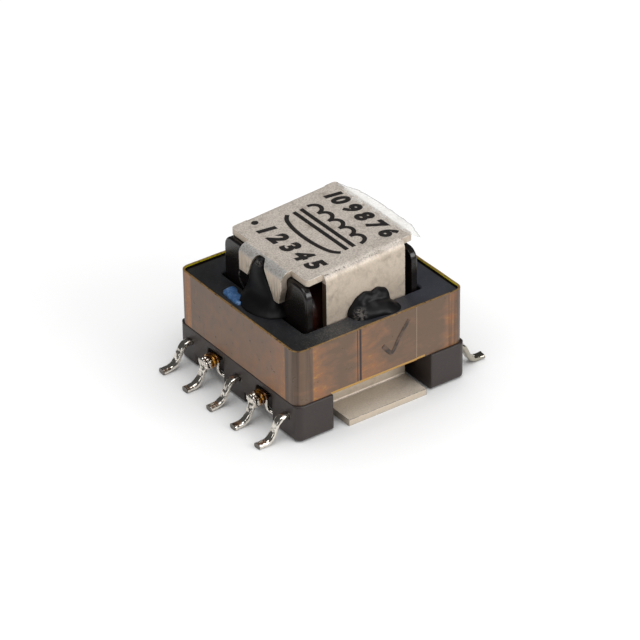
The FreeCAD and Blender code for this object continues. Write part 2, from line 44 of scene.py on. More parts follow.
CAMERA_ROLL = math.radians(-0.83)
CAMERA_DISTANCE = 247.02 * MM
LOOK_AT = Vector((0, 0, 3.55)) * MM
PICTURE_PIXELS = 640
FOCAL_PIXELS = 3844.5
AXIS_PIXEL = (321.59, 318.85)
SENSOR_MM = 36


def add_object(name, data):
    """Link new data to the scene as an object."""
    made = bpy.data.objects.new(name, data)
    bpy.context.scene.collection.objects.link(made)
    return made


camera_data = bpy.data.cameras.new("camera")
camera_data.sensor_width = SENSOR_MM
camera_data.lens = FOCAL_PIXELS / PICTURE_PIXELS * SENSOR_MM
camera_data.shift_x = (PICTURE_PIXELS / 2 - AXIS_PIXEL[0]) / PICTURE_PIXELS
camera_data.shift_y = (AXIS_PIXEL[1] - PICTURE_PIXELS / 2) / PICTURE_PIXELS
camera_data.clip_start = 10 * MM
camera_data.clip_end = 10
back = Vector((
    math.sin(CAMERA_YAW) * math.cos(CAMERA_PITCH),
    -math.cos(CAMERA_YAW) * math.cos(CAMERA_PITCH),
    math.sin(CAMERA_PITCH),
))
level = Vector((math.cos(CAMERA_YAW), math.sin(CAMERA_YAW), 0))
upright = back.cross(level)
right = level * math.cos(CAMERA_ROLL) + upright * math.sin(CAMERA_ROLL)
upward = upright * math.cos(CAMERA_ROLL) - level * math.sin(CAMERA_ROLL)
camera = add_object("camera", camera_data)
camera.matrix_world = Matrix.Translation(LOOK_AT + back * CAMERA_DISTANCE) @ Matrix(
    (right, upward, back)).transposed().to_4x4()
bpy.context.scene.camera = camera
bpy.context.scene.view_settings.view_transform = "Standard"

# Studio: a white laminate table under one large soft lamp, with a weak lamp at each side of the camera.
# Camera and mirror rays see the white surroundings. Straight up they see the dark studio ceiling.
TABLE_RADIUS = 1.5
TABLE_GLOW = 0.36
TABLE_SHADE = 0.62
TABLE_BOUNCE = 0.85
POOL_EDGE = 22 * MM
POOL_END = 75 * MM
TABLE_FAR = 0.1
SHADE_REACH = 8 * MM
SHADE_DEPTH = 1.4
WORLD_FILL = 0.5
CEILING_GREY = 0.07
CEILING_FULL = 0.1
LAMPS = (
    ("lamp above", 1.0, 0.34, (0.0, -0.05, 0.44)),
    ("lamp left", 0.22, 0.2, (-0.42, -0.1, 0.24)),
    ("lamp right", 1.2, 0.26, (0.2, -0.42, 0.22)),
)


def colour(code):
    """An sRGB hex colour as the linear colour that a shader reads."""
    parts = [int(code[i:i + 2], 16) / 255 for i in (1, 3, 5)]
    return (*[c / 12.92 if c <= 0.04045 else ((c + 0.055) / 1.055) ** 2.4 for c in parts], 1)


def add_node(tree, kind, inputs=None, **settings):
    """Add a node with its settings, and give each named input its value or its link.

    A node given as a value stands for its first output.
    """
    made = tree.nodes.new(kind)
    for name, value in settings.items():
        setattr(made, name, value)
    for name, value in (inputs or {}).items():
        socket = made.inputs[name]
        if isinstance(value, bpy.types.Node):
            value = next(output for output in value.outputs if output.enabled)
        if isinstance(value, bpy.types.NodeSocket):
            tree.links.new(value, socket)
        else:
            socket.default_value = value
    return made


def start_material(name):
    """A material with an empty tree of shader nodes."""
    material = bpy.data.materials.new(name)
    material.use_nodes = True
    material.node_tree.nodes.clear()
    return material, material.node_tree


def take_mesh(builder, name):
    """Turn what a builder holds into a mesh."""
    mesh = bpy.data.meshes.new(name)
    builder.to_mesh(mesh)
    builder.free()
    return mesh


world = bpy.data.worlds.new("white studio")
bpy.context.scene.world = world
world.use_nodes = True
tree = world.node_tree
tree.nodes.clear()
ray = add_node(tree, "ShaderNodeLightPath")
direction = add_node(tree, "ShaderNodeTexCoord")
height = add_node(tree, "ShaderNodeSeparateXYZ", {"Vector": direction.outputs["Generated"]})
ceiling = add_node(tree, "ShaderNodeMapRange", {
    "Value": height.outputs["Z"], "From Max": CEILING_FULL, "To Min": 1.0, "To Max": CEILING_GREY,
})
mirrored = add_node(tree, "ShaderNodeMath", {
    0: ray.outputs["Is Glossy Ray"], 1: ray.outputs["Is Transmission Ray"],
}, operation="MAXIMUM")
soft = add_node(tree, "ShaderNodeMix", {
    "Factor": mirrored, "A": WORLD_FILL, "B": ceiling,
}, data_type="FLOAT")
strength = add_node(tree, "ShaderNodeMix", {
    "Factor": ray.outputs["Is Camera Ray"], "A": soft, "B": 1.0,
}, data_type="FLOAT")
background = add_node(tree, "ShaderNodeBackground", {"Color": (1, 1, 1, 1), "Strength": strength})
add_node(tree, "ShaderNodeOutputWorld", {"Surface": background})

builder = bmesh.new()
bmesh.ops.create_circle(builder, cap_ends=True, segments=96, radius=TABLE_RADIUS)
table = add_object("table", take_mesh(builder, "table"))
material, tree = start_material("white table, matte laminate")
ray = add_node(tree, "ShaderNodeLightPath")
spot = add_node(tree, "ShaderNodeNewGeometry")
away = add_node(tree, "ShaderNodeVectorMath", {0: spot.outputs["Position"]}, operation="LENGTH")
# painted pool of light: the table reflects and bounces less light further from the part
painted_light_pool = add_node(tree, "ShaderNodeMapRange", {
    "Value": away, "From Min": POOL_EDGE, "From Max": POOL_END, "To Min": TABLE_BOUNCE, "To Max": TABLE_FAR,
}, interpolation_type="SMOOTHSTEP")
sheet = add_node(tree, "ShaderNodeBsdfDiffuse", {"Color": painted_light_pool})
part_sheet = add_node(tree, "ShaderNodeBsdfDiffuse", {"Color": (TABLE_SHADE, TABLE_SHADE, TABLE_SHADE, 1)})
# painted shadow: the table's glow seen by the camera is darkened where the part shuts out open air
shade = add_node(tree, "ShaderNodeAmbientOcclusion", {"Distance": SHADE_REACH})
deep = add_node(tree, "ShaderNodeMath", {0: shade.outputs["AO"], 1: SHADE_DEPTH}, operation="POWER")
glow_with_painted_shadow = add_node(tree, "ShaderNodeMath", {0: deep, 1: TABLE_GLOW}, operation="MULTIPLY")
glow = add_node(tree, "ShaderNodeEmission", {"Color": (1, 1, 1, 1), "Strength": glow_with_painted_shadow})
lit = add_node(tree, "ShaderNodeAddShader", {0: part_sheet, 1: glow})
seen = add_node(tree, "ShaderNodeMixShader", {"Fac": ray.outputs["Is Camera Ray"], 1: sheet, 2: lit})
add_node(tree, "ShaderNodeOutputMaterial", {"Surface": seen})
table.data.materials.append(material)

for name, watts, side, place in LAMPS:
    lamp_data = bpy.data.lights.new(name, "AREA")
    lamp_data.energy = watts
    lamp_data.shape = "SQUARE"
    lamp_data.size = side
    lamp = add_object(name, lamp_data)
    lamp.location = place
    lamp.rotation_euler = (LOOK_AT - Vector(place)).to_track_quat("-Z", "Y").to_euler()

# Ferrite core: two grey E halves, pressed from manganese-zinc powder, sintered, and ground on their faces.
# They stay as the construction has them and get only their finish.
FERRITE_DARK = "#0a0b0f"
FERRITE_LIGHT = "#2c2e37"
FERRITE_DUST = "#6a675f"
DUSTY_PLACE = (-3.2, -5.6, 6.5)
DUSTY_REACH = 3.2
GRIT_HEIGHT = 0.012 * MM


def place_in_mm(tree):
    """A point's place on the part in millimetres, so that a pattern's scale is per millimetre."""
    point = add_node(tree, "ShaderNodeTexCoord")
    per_mm = {0: point.outputs["Object"], "Scale": 1 / MM}
    return add_node(tree, "ShaderNodeVectorMath", per_mm, operation="SCALE")


def dress(node_name, material):
    """Give a piece of the construction its finish."""
    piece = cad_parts[node_name]
    piece.data.materials.clear()
    piece.data.materials.append(material)


# Sintered ferrite, ground: matte blue-grey. Grit marks 0.05 mm wide keep it from any mirror shine,
# the powder's uneven firing clouds it over a millimetre or two, and pale dust has settled at the near corner.
material, tree = start_material("manganese-zinc ferrite, sintered and ground")
place = place_in_mm(tree)
clouds = add_node(tree, "ShaderNodeTexNoise", {"Vector": place, "Scale": 0.7, "Detail": 3.0})
grit = add_node(tree, "ShaderNodeTexNoise", {
    "Vector": place, "Scale": 14.0, "Detail": 4.0, "Roughness": 0.65,
})
axis = add_node(tree, "ShaderNodeSeparateXYZ", {"Vector": place})
# painted light: the grey is painted paler towards the right
painted_light_rightward = add_node(tree, "ShaderNodeMapRange", {
    "Value": axis.outputs["X"], "From Min": -4.5, "From Max": 5.5, "To Min": -0.35, "To Max": 0.45,
})
clouds_and_painted_light = add_node(tree, "ShaderNodeMath", {0: clouds, 1: painted_light_rightward}, operation="ADD", use_clamp=True)
tone = add_node(tree, "ShaderNodeMix", {
    "Factor": clouds_and_painted_light, "A": colour(FERRITE_DARK), "B": colour(FERRITE_LIGHT),
}, data_type="RGBA")
away = add_node(tree, "ShaderNodeVectorMath", {0: place, 1: DUSTY_PLACE}, operation="DISTANCE")
settled = add_node(tree, "ShaderNodeMapRange", {
    "Value": away, "From Min": 0.4, "From Max": DUSTY_REACH, "To Min": 0.14, "To Max": 0.015,
})
speck = add_node(tree, "ShaderNodeMath", {0: grit, 1: settled}, operation="ADD")
dusty = add_node(tree, "ShaderNodeMapRange", {
    "Value": speck, "From Min": 0.58, "From Max": 0.78, "To Max": 0.55,
})
dusted = add_node(tree, "ShaderNodeMix", {
    "Factor": dusty, "A": tone, "B": colour(FERRITE_DUST),
}, data_type="RGBA")
dull = add_node(tree, "ShaderNodeMapRange", {"Value": grit, "To Min": 0.42, "To Max": 0.68})
relief = add_node(tree, "ShaderNodeBump", {"Height": grit, "Strength": 0.35, "Distance": GRIT_HEIGHT})
ferrite = add_node(tree, "ShaderNodeBsdfPrincipled", {
    "Base Color": dusted, "Roughness": dull, "Normal": relief,
})
add_node(tree, "ShaderNodeOutputMaterial", {"Surface": ferrite})
for name in ("core_half_left", "core_half_right"):
    dress(name, material)

# Bobbin: one moulding of black glass-filled nylon with rails, flanges and a tube.
# It stays as the construction has it and gets only its finish.
BOBBIN_BLACK = "#0c0a0a"
BOBBIN_BROWN = "#1a1513"
BOBBIN_RAIL_PAINTED_LIGHT = "#332a27"
RAIL_TOP_MM = 2.7
FLANGE_EDGE = 0.08 * MM
RAIL_EDGE = 0.24 * MM
PEEL_HEIGHT = 0.02 * MM

# Glass-filled nylon, moulded: near black, with an orange peel about 0.1 mm across and faint fibre streaks.
# The flanges keep their gloss. The rails are matte, and painted a mottled brown, lighter than the flanges, as
# painted light.
material, tree = start_material("glass-filled nylon, moulded black")
place = place_in_mm(tree)
flow = add_node(tree, "ShaderNodeMapping", {"Vector": place, "Scale": (1.2, 0.5, 2.4)})
streaks = add_node(tree, "ShaderNodeTexNoise", {"Vector": flow, "Scale": 1.5, "Detail": 4.0})
peel = add_node(tree, "ShaderNodeTexNoise", {"Vector": place, "Scale": 9.0, "Detail": 5.0, "Roughness": 0.6})
tone = add_node(tree, "ShaderNodeMix", {
    "Factor": streaks, "A": colour(BOBBIN_BLACK), "B": colour(BOBBIN_BROWN),
}, data_type="RGBA")
level = add_node(tree, "ShaderNodeSeparateXYZ", {"Vector": place})
on_rail = add_node(tree, "ShaderNodeMath", {0: level.outputs["Z"], 1: RAIL_TOP_MM}, operation="LESS_THAN")
rail_mottle = add_node(tree, "ShaderNodeMapRange", {
    "Value": peel, "From Min": 0.2, "From Max": 0.6, "To Min": 0.55,
})
# painted light: below the rail top the moulding is painted a lighter mottled brown
painted_lighter_rails = add_node(tree, "ShaderNodeMath", {0: on_rail, 1: rail_mottle}, operation="MULTIPLY")
moulded = add_node(tree, "ShaderNodeMix", {
    "Factor": painted_lighter_rails, "A": tone, "B": colour(BOBBIN_RAIL_PAINTED_LIGHT),
}, data_type="RGBA")
dull = add_node(tree, "ShaderNodeMapRange", {"Value": painted_lighter_rails, "To Min": 0.22, "To Max": 0.45})
soft = add_node(tree, "ShaderNodeMapRange", {"Value": on_rail, "To Min": FLANGE_EDGE, "To Max": RAIL_EDGE})
round_edge = add_node(tree, "ShaderNodeBevel", {"Radius": soft}, samples=8)
relief = add_node(tree, "ShaderNodeBump", {
    "Height": peel, "Strength": 0.3, "Distance": PEEL_HEIGHT, "Normal": round_edge,
})
moulding = add_node(tree, "ShaderNodeBsdfPrincipled", {
    "Base Color": moulded, "Roughness": dull, "Normal": relief,
})
add_node(tree, "ShaderNodeOutputMaterial", {"Surface": moulding})
dress("bobbin", material)

# Winding: layers of fine enamelled copper wire on the tube, closed in by a turn of dark polyester tape.
# Both show only through the gaps beside the flanges. They stay as the construction has them.
WIRE_AMBER = "#9a5a1e"
WIRE_DARK = "#4a240c"
WIRE_DIAMETER_MM = 0.1
WRAP_BROWN = "#24110e"
WRAP_RED = "#35170f"

# Enamelled copper, layer wound: amber with a dark line between turns a wire's thickness apart.
material, tree = start_material("enamelled copper wire, layer wound")
place = place_in_mm(tree)
turns = add_node(tree, "ShaderNodeTexWave", {
    "Vector": place, "Scale": math.pi / (10 * WIRE_DIAMETER_MM), "Distortion": 0.4,
}, bands_direction="X")
tone = add_node(tree, "ShaderNodeMix", {
    "Factor": turns.outputs["Fac"], "A": colour(WIRE_DARK), "B": colour(WIRE_AMBER),
}, data_type="RGBA")
relief = add_node(tree, "ShaderNodeBump", {
    "Height": turns.outputs["Fac"], "Strength": 0.8, "Distance": 0.04 * MM,
})
enamel = add_node(tree, "ShaderNodeBsdfPrincipled", {
    "Base Color": tone, "Roughness": 0.3, "Coat Weight": 0.6, "Normal": relief,
})
add_node(tree, "ShaderNodeOutputMaterial", {"Surface": enamel})
dress("secondary_winding", material)

# Polyester film tape, wrapped by hand: smooth and dark red-brown, with the wire's turns faint beneath.
material, tree = start_material("polyester film tape, dark red")
place = place_in_mm(tree)
patches = add_node(tree, "ShaderNodeTexNoise", {"Vector": place, "Scale": 1.1, "Detail": 3.0})
turns = add_node(tree, "ShaderNodeTexWave", {
    "Vector": place, "Scale": math.pi / (10 * WIRE_DIAMETER_MM), "Distortion": 1.0,
}, bands_direction="X")
tone = add_node(tree, "ShaderNodeMix", {
    "Factor": patches, "A": colour(WRAP_BROWN), "B": colour(WRAP_RED),
}, data_type="RGBA")
relief = add_node(tree, "ShaderNodeBump", {
    "Height": turns.outputs["Fac"], "Strength": 0.25, "Distance": 0.02 * MM,
})
film = add_node(tree, "ShaderNodeBsdfPrincipled", {"Base Color": tone, "Roughness": 0.25, "Normal": relief})
add_node(tree, "ShaderNodeOutputMaterial", {"Surface": film})
dress("winding_wrap", material)

# Heavy turn: one tinned copper strip, sheared, bent round the winding and soldered to the board by two feet.
# It stays as the construction has it and gets only its finish.
TIN_LIGHT = "#d8cec3"
TIN_GREY = "#a8a097"
TIN_PAINTED_WARM_SIDE = "#d9c8b3"
TIN_STAIN = "#8f8272"
TIN_PIT = "#4a423a"
TIN_BRIGHT = "#eee8df"
TIN_BEND_HIGHLIGHT = "#d9d7d3"
TIN_FOOT_PAINTED_LIGHT = "#f2e2cc"
TIN_CUT = "#5e4a3c"
CUT_FROM_MM = 2.7
CUT_TO_MM = 9.3
CLAW_FROM_MM = -4.27
FOOT_BELOW_MM = 2.0
NOOK_BELOW_MM = 2.9
NOOK_REACH = 2.0 * MM
FOLD_SLOPE = 0.8
FOLD_SPAN = 0.07
NEAR_SLOPE = -0.3
SIDE_SLOPE = 0.8
PAINTED_SIDE_WARMTH = 0.7
STRIP_EDGE = 0.07 * MM

# Matte tin plate on rolled copper: pale warm grey, specked 0.1 mm across where the plating's grains differ.
# Upright faces are painted yellower, as painted warm light, and stained in runs. Edges are burnished bright,
# or tarnished brown on the legs.
# The bend along the near side has cracked the plating into a row of dark pits.
material, tree = start_material("copper strip, matte tin plated")
place = place_in_mm(tree)
surface = add_node(tree, "ShaderNodeNewGeometry")
slope = add_node(tree, "ShaderNodeSeparateXYZ", {"Vector": surface.outputs["Normal"]})
upright_face = add_node(tree, "ShaderNodeMapRange", {
    "Value": slope.outputs["Z"], "From Min": 0.75, "From Max": 0.3,
})
clouds = add_node(tree, "ShaderNodeTexNoise", {"Vector": place, "Scale": 0.9, "Detail": 4.0})
specks = add_node(tree, "ShaderNodeTexNoise", {
    "Vector": place, "Scale": 9.0, "Detail": 5.0, "Roughness": 0.75,
})
level = add_node(tree, "ShaderNodeMapRange", {"Value": specks, "From Min": 0.36, "From Max": 0.56})
flat = add_node(tree, "ShaderNodeMix", {
    "Factor": level, "A": colour(TIN_GREY), "B": colour(TIN_LIGHT),
}, data_type="RGBA")
# painted light: faces that stand upright are painted warmer than the tops
painted_side_warmth = add_node(tree, "ShaderNodeMath", {0: upright_face, 1: PAINTED_SIDE_WARMTH}, operation="MULTIPLY")
sided = add_node(tree, "ShaderNodeMix", {
    "Factor": painted_side_warmth, "A": flat, "B": colour(TIN_PAINTED_WARM_SIDE),
}, data_type="RGBA")
runs = add_node(tree, "ShaderNodeMapping", {"Vector": place, "Scale": (1.0, 1.0, 0.75)})
run = add_node(tree, "ShaderNodeTexNoise", {"Vector": runs, "Scale": 2.4, "Detail": 5.0, "Distortion": 0.4})
stain = add_node(tree, "ShaderNodeMapRange", {
    "Value": run, "From Min": 0.44, "From Max": 0.72, "To Max": 0.7,
})
worn = add_node(tree, "ShaderNodeMapRange", {"Value": clouds, "From Min": 0.4, "From Max": 0.66})
stained = add_node(tree, "ShaderNodeMath", {0: stain, 1: worn}, operation="MULTIPLY")
plated = add_node(tree, "ShaderNodeMix", {
    "Factor": stained, "A": sided, "B": colour(TIN_STAIN),
}, data_type="RGBA")

# the claws: smoother, painted lighter and cooler on the bend as a painted highlight, and streaked brown, more
# so down to their tips, partly stain and partly painted shade
axis = add_node(tree, "ShaderNodeSeparateXYZ", {"Vector": place})
on_claw = add_node(tree, "ShaderNodeMath", {0: axis.outputs["X"], 1: CLAW_FROM_MM}, operation="LESS_THAN")
bend = add_node(tree, "ShaderNodeMapRange", {"Value": slope.outputs["Z"], "From Min": 0.15, "From Max": 0.5})
drops = add_node(tree, "ShaderNodeMapping", {"Vector": place, "Scale": (1.0, 5.0, 0.7)})
drop = add_node(tree, "ShaderNodeTexNoise", {"Vector": drops, "Scale": 1.5, "Detail": 4.0})
streak = add_node(tree, "ShaderNodeMapRange", {
    "Value": drop, "From Min": 0.38, "From Max": 0.62, "To Max": 0.75,
})
darker_to_tips = add_node(tree, "ShaderNodeMapRange", {
    "Value": axis.outputs["Z"], "From Min": 9.4, "From Max": 7.8, "To Min": 0.25,
})
streaks_and_painted_shade = add_node(tree, "ShaderNodeMath", {0: streak, 1: darker_to_tips}, operation="MULTIPLY")
claw_face = add_node(tree, "ShaderNodeMix", {
    "Factor": streaks_and_painted_shade, "A": plated, "B": colour(TIN_STAIN),
}, data_type="RGBA")
# painted highlight: where the claws' bend faces up it is painted a light cool grey
bend_painted_highlight = add_node(tree, "ShaderNodeMix", {
    "Factor": level, "A": colour(TIN_GREY), "B": colour(TIN_BEND_HIGHLIGHT),
}, data_type="RGBA")
claw = add_node(tree, "ShaderNodeMix", {"Factor": bend, "A": claw_face, "B": bend_painted_highlight}, data_type="RGBA")
clawed = add_node(tree, "ShaderNodeMix", {"Factor": on_claw, "A": plated, "B": claw}, data_type="RGBA")
# painted light: the foot is painted lighter and warmer towards the board
foot = add_node(tree, "ShaderNodeMapRange", {
    "Value": axis.outputs["Z"], "From Min": FOOT_BELOW_MM, "From Max": 0.0, "To Max": 0.62,
})
round_edge = add_node(tree, "ShaderNodeBevel", {"Radius": STRIP_EDGE}, samples=8)
straight = add_node(tree, "ShaderNodeVectorMath", {
    0: round_edge, 1: surface.outputs["Normal"],
}, operation="DOT_PRODUCT")
edge = add_node(tree, "ShaderNodeMapRange", {"Value": straight, "From Min": 0.995, "From Max": 0.9})
burnished = add_node(tree, "ShaderNodeMapRange", {"Value": specks, "From Min": 0.35, "From Max": 0.5})
bright = add_node(tree, "ShaderNodeMath", {0: edge, 1: burnished}, operation="MULTIPLY")

# dark pits where the near fold cracked the plating, and tarnish on the legs' sheared edges
on_fold = add_node(tree, "ShaderNodeMath", {
    0: slope.outputs["Z"], 1: FOLD_SLOPE, 2: FOLD_SPAN,
}, operation="COMPARE")
near_side = add_node(tree, "ShaderNodeMath", {0: slope.outputs["Y"], 1: NEAR_SLOPE}, operation="LESS_THAN")
fold = add_node(tree, "ShaderNodeMath", {0: on_fold, 1: near_side}, operation="MULTIPLY")
cracks = add_node(tree, "ShaderNodeTexNoise", {
    "Vector": place, "Scale": 5.0, "Detail": 3.0, "Roughness": 0.7,
})
crack = add_node(tree, "ShaderNodeMapRange", {
    "Value": cracks, "From Min": 0.53, "From Max": 0.63, "To Max": 0.7,
})
rim = add_node(tree, "ShaderNodeMath", {0: fold, 1: edge}, operation="MAXIMUM")
pitted = add_node(tree, "ShaderNodeMath", {0: rim, 1: crack}, operation="MULTIPLY")
sideways = add_node(tree, "ShaderNodeMath", {0: slope.outputs["X"]}, operation="ABSOLUTE")
sheared = add_node(tree, "ShaderNodeMath", {0: sideways, 1: SIDE_SLOPE}, operation="GREATER_THAN")
lifted = add_node(tree, "ShaderNodeMath", {
    0: axis.outputs["Z"], 1: (CUT_FROM_MM + CUT_TO_MM) / 2, 2: (CUT_TO_MM - CUT_FROM_MM) / 2,
}, operation="COMPARE")
leg_edge = add_node(tree, "ShaderNodeMath", {0: sheared, 1: lifted}, operation="MULTIPLY")
inside = add_node(tree, "ShaderNodeMath", {
    0: axis.outputs["X"], 1: 0.0, 2: -CLAW_FROM_MM - 0.1,
}, operation="COMPARE")
tarnish = add_node(tree, "ShaderNodeMath", {0: leg_edge, 1: inside}, operation="MULTIPLY")

# painted shade in the nook under the tape, darker where little open air reaches, and a broken dark burr along
# the foot's edges
open_air = add_node(tree, "ShaderNodeAmbientOcclusion", {"Distance": NOOK_REACH}, samples=8)
shut = add_node(tree, "ShaderNodeMapRange", {
    "Value": open_air.outputs["AO"], "From Min": 0.8, "From Max": 0.25, "To Max": 0.62,
})
below = add_node(tree, "ShaderNodeMath", {0: axis.outputs["Z"], 1: NOOK_BELOW_MM}, operation="LESS_THAN")
nook_painted_shade = add_node(tree, "ShaderNodeMath", {0: shut, 1: below}, operation="MULTIPLY")
burr = add_node(tree, "ShaderNodeMath", {0: edge, 1: below}, operation="MULTIPLY")
broken = add_node(tree, "ShaderNodeMath", {0: burr, 1: burnished}, operation="MULTIPLY")
burr_and_painted_shade = add_node(tree, "ShaderNodeMath", {0: nook_painted_shade, 1: broken}, operation="MAXIMUM")

# each of these covers what lies below it
finished = clawed
for cover, code in (
    (foot, TIN_FOOT_PAINTED_LIGHT),
    (bright, TIN_BRIGHT),
    (pitted, TIN_PIT),
    (tarnish, TIN_CUT),
    (burr_and_painted_shade, TIN_PIT),
):
    finished = add_node(tree, "ShaderNodeMix", {
        "Factor": cover, "A": finished, "B": colour(code),
    }, data_type="RGBA")
dull = add_node(tree, "ShaderNodeMapRange", {"Value": specks, "To Min": 0.38, "To Max": 0.62})
grain = add_node(tree, "ShaderNodeBump", {
    "Height": specks, "Strength": 0.5, "Distance": 0.02 * MM, "Normal": round_edge,
})
sunk = add_node(tree, "ShaderNodeMath", {0: pitted, 1: -1.0}, operation="MULTIPLY")
relief = add_node(tree, "ShaderNodeBump", {
    "Height": sunk, "Strength": 0.6, "Distance": 0.05 * MM, "Normal": grain,
})
burnish = add_node(tree, "ShaderNodeMapRange", {"Value": on_claw, "To Min": 0.35, "To Max": 0.55})
smoother = add_node(tree, "ShaderNodeMapRange", {"Value": on_claw, "To Min": 1.0, "To Max": 0.75})
sheen = add_node(tree, "ShaderNodeMath", {0: dull, 1: smoother}, operation="MULTIPLY")
tin = add_node(tree, "ShaderNodeBsdfPrincipled", {
    "Base Color": finished, "Metallic": burnish, "Roughness": sheen, "Normal": relief,
})
add_node(tree, "ShaderNodeOutputMaterial", {"Surface": tin})
dress("primary_strip", material)

# Terminals: ten flat copper-clad steel wires, moulded into the rails, bent to a gull wing and dipped in tin.
# The dip leaves them lumpy and round at the edges. Each is a swept section, pushed out by noise of its own.
PIN_PITCH = 2.7 * MM
PINS_PER_ROW = 5
PIN_PATH = (
    (-4.9, 1.62), (-6.3, 1.62), (-6.9, 1.62), (-7.28, 1.42), (-7.5, 1.02), (-7.74, 0.56), (-8.1, 0.25),
    (-8.5, 0.18), (-8.9, 0.18),
)
PIN_WIDTH = 0.6 * MM
PIN_THICKNESS = 0.36 * MM
PIN_ROUND = 0.16 * MM
PIN_LUMP = 0.13 * MM
PIN_STEPS = 90
PIN_SECTION_POINTS = 32
LUMPS_PER_MM = 1.7
LUMPS_APART = 3.7
PIN_CUT_MM = 8.84
DIPPED_TIN = "#e6e0d6"
FAR_ROW_TIN = "#a09a8c"
CUT_STEEL = "#3d3835"


def start_tree(name, sizes):
    """A Geometry Nodes tree on some geometry, with a named input for each size."""
    tree = bpy.data.node_groups.new(name, "GeometryNodeTree")
    tree.interface.new_socket("Geometry", in_out="INPUT", socket_type="NodeSocketGeometry")
    tree.interface.new_socket("Geometry", in_out="OUTPUT", socket_type="NodeSocketGeometry")
    for size in sizes:
        tree.interface.new_socket(size, in_out="INPUT", socket_type="NodeSocketFloat")
    return tree, tree.nodes.new("NodeGroupInput").outputs


def finish_tree(tree, geometry, material):
    """End a tree with real geometry in this material."""
    single = add_node(tree, "GeometryNodeRealizeInstances", {"Geometry": geometry})
    coated = add_node(tree, "GeometryNodeSetMaterial", {"Geometry": single, "Material": material})
    add_node(tree, "NodeGroupOutput", {"Geometry": coated})


def make_plain(holder, name):
    """Keep what an object shows as a plain mesh, and remove the object."""
    mesh = bpy.data.meshes.new_from_object(holder.evaluated_get(bpy.context.evaluated_depsgraph_get()))
    bpy.data.objects.remove(holder)
    mesh.name = name
    return mesh


def grow(name, start, tree, sizes):
    """Run the tree on a starting mesh and keep what comes out as a plain mesh."""
    carrier = add_object(name, start)
    modifier = carrier.modifiers.new("grow", "NODES")
    modifier.node_group = tree
    for socket in tree.interface.items_tree:
        if socket.in_out == "INPUT" and socket.name in sizes:
            modifier[socket.identifier] = sizes[socket.name]
    return make_plain(carrier, name)


def add_piece(name, mesh, material, replaced=()):
    """Link a finished mesh as a piece on the part's body, in place of the named CAD pieces."""
    piece = add_object(name, mesh)
    mesh.materials.clear()
    mesh.materials.append(material)
    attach(piece, "root")
    if replaced:
        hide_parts(*replaced)
    return piece


# Hot-dipped tin: a bright mirror, broken by lumps a third of a millimetre apart.
# The sheared toe ends are bare steel.
tinned, tree = start_material("tinned wire, hot dipped")
place = place_in_mm(tree)
frost = add_node(tree, "ShaderNodeTexNoise", {"Vector": place, "Scale": 2.2, "Detail": 1.5})
dull = add_node(tree, "ShaderNodeMapRange", {"Value": frost, "To Min": 0.08, "To Max": 0.24})
relief = add_node(tree, "ShaderNodeBump", {"Height": frost, "Strength": 0.6, "Distance": 0.09 * MM})
reach = add_node(tree, "ShaderNodeSeparateXYZ", {"Vector": place})
outside = add_node(tree, "ShaderNodeMath", {0: reach.outputs["X"]}, operation="ABSOLUTE")
sheared = add_node(tree, "ShaderNodeMapRange", {
    "Value": outside, "From Min": PIN_CUT_MM, "From Max": PIN_CUT_MM + 0.02, "To Max": 0.85,
})
# the far row is darker and greyer than the near one
far_row = add_node(tree, "ShaderNodeMapRange", {"Value": reach.outputs["X"], "To Max": 0.85})
row_tone = add_node(tree, "ShaderNodeMix", {
    "Factor": far_row, "A": colour(DIPPED_TIN), "B": colour(FAR_ROW_TIN),
}, data_type="RGBA")
tone = add_node(tree, "ShaderNodeMix", {
    "Factor": sheared, "A": row_tone, "B": colour(CUT_STEEL),
}, data_type="RGBA")
tin = add_node(tree, "ShaderNodeBsdfPrincipled", {
    "Base Color": tone, "Metallic": 1.0, "Roughness": dull, "Normal": relief,
})
add_node(tree, "ShaderNodeOutputMaterial", {"Surface": tin})

sizes = {"Width": PIN_WIDTH, "Thickness": PIN_THICKNESS, "Round": PIN_ROUND, "Lump": PIN_LUMP, "Seed": 0}
tree, size = start_tree("dipped terminal", sizes)
line = add_node(tree, "GeometryNodeMeshToCurve", {"Mesh": size["Geometry"]})
bent = add_node(tree, "GeometryNodeCurveSplineType", {"Curve": line}, spline_type="CATMULL_ROM")
fine = add_node(tree, "GeometryNodeResampleCurve", {"Curve": bent, "Count": PIN_STEPS})
level = add_node(tree, "GeometryNodeSetCurveNormal", {"Curve": fine}, mode="Z_UP")
along = add_node(tree, "GeometryNodeSplineParameter")
taper = add_node(tree, "ShaderNodeMapRange", {
    "Value": along, "From Min": 0.975, "From Max": 1.0, "To Min": 1.0, "To Max": 0.72,
}, interpolation_type="SMOOTHSTEP")
ended = add_node(tree, "GeometryNodeSetCurveRadius", {"Curve": level, "Radius": taper})
outline = add_node(tree, "GeometryNodeCurvePrimitiveQuadrilateral", {
    "Width": size["Width"], "Height": size["Thickness"],
})
rounded = add_node(tree, "GeometryNodeFilletCurve", {
    "Curve": outline, "Count": 4, "Radius": size["Round"],
}, mode="POLY")
section = add_node(tree, "GeometryNodeResampleCurve", {"Curve": rounded, "Count": PIN_SECTION_POINTS})
swept = add_node(tree, "GeometryNodeCurveToMesh", {
    "Curve": ended, "Profile Curve": section, "Fill Caps": True,
})
spot = add_node(tree, "GeometryNodeInputPosition")
lumps = add_node(tree, "ShaderNodeTexNoise", {
    "Vector": spot, "W": size["Seed"], "Scale": LUMPS_PER_MM / MM, "Detail": 2.0,
}, noise_dimensions="4D")
high = add_node(tree, "ShaderNodeMath", {0: lumps, 1: 0.5}, operation="SUBTRACT")
lift = add_node(tree, "ShaderNodeMath", {0: high, 1: size["Lump"]}, operation="MULTIPLY")
outward = add_node(tree, "GeometryNodeInputNormal")
push = add_node(tree, "ShaderNodeVectorMath", {0: outward, "Scale": lift}, operation="SCALE")
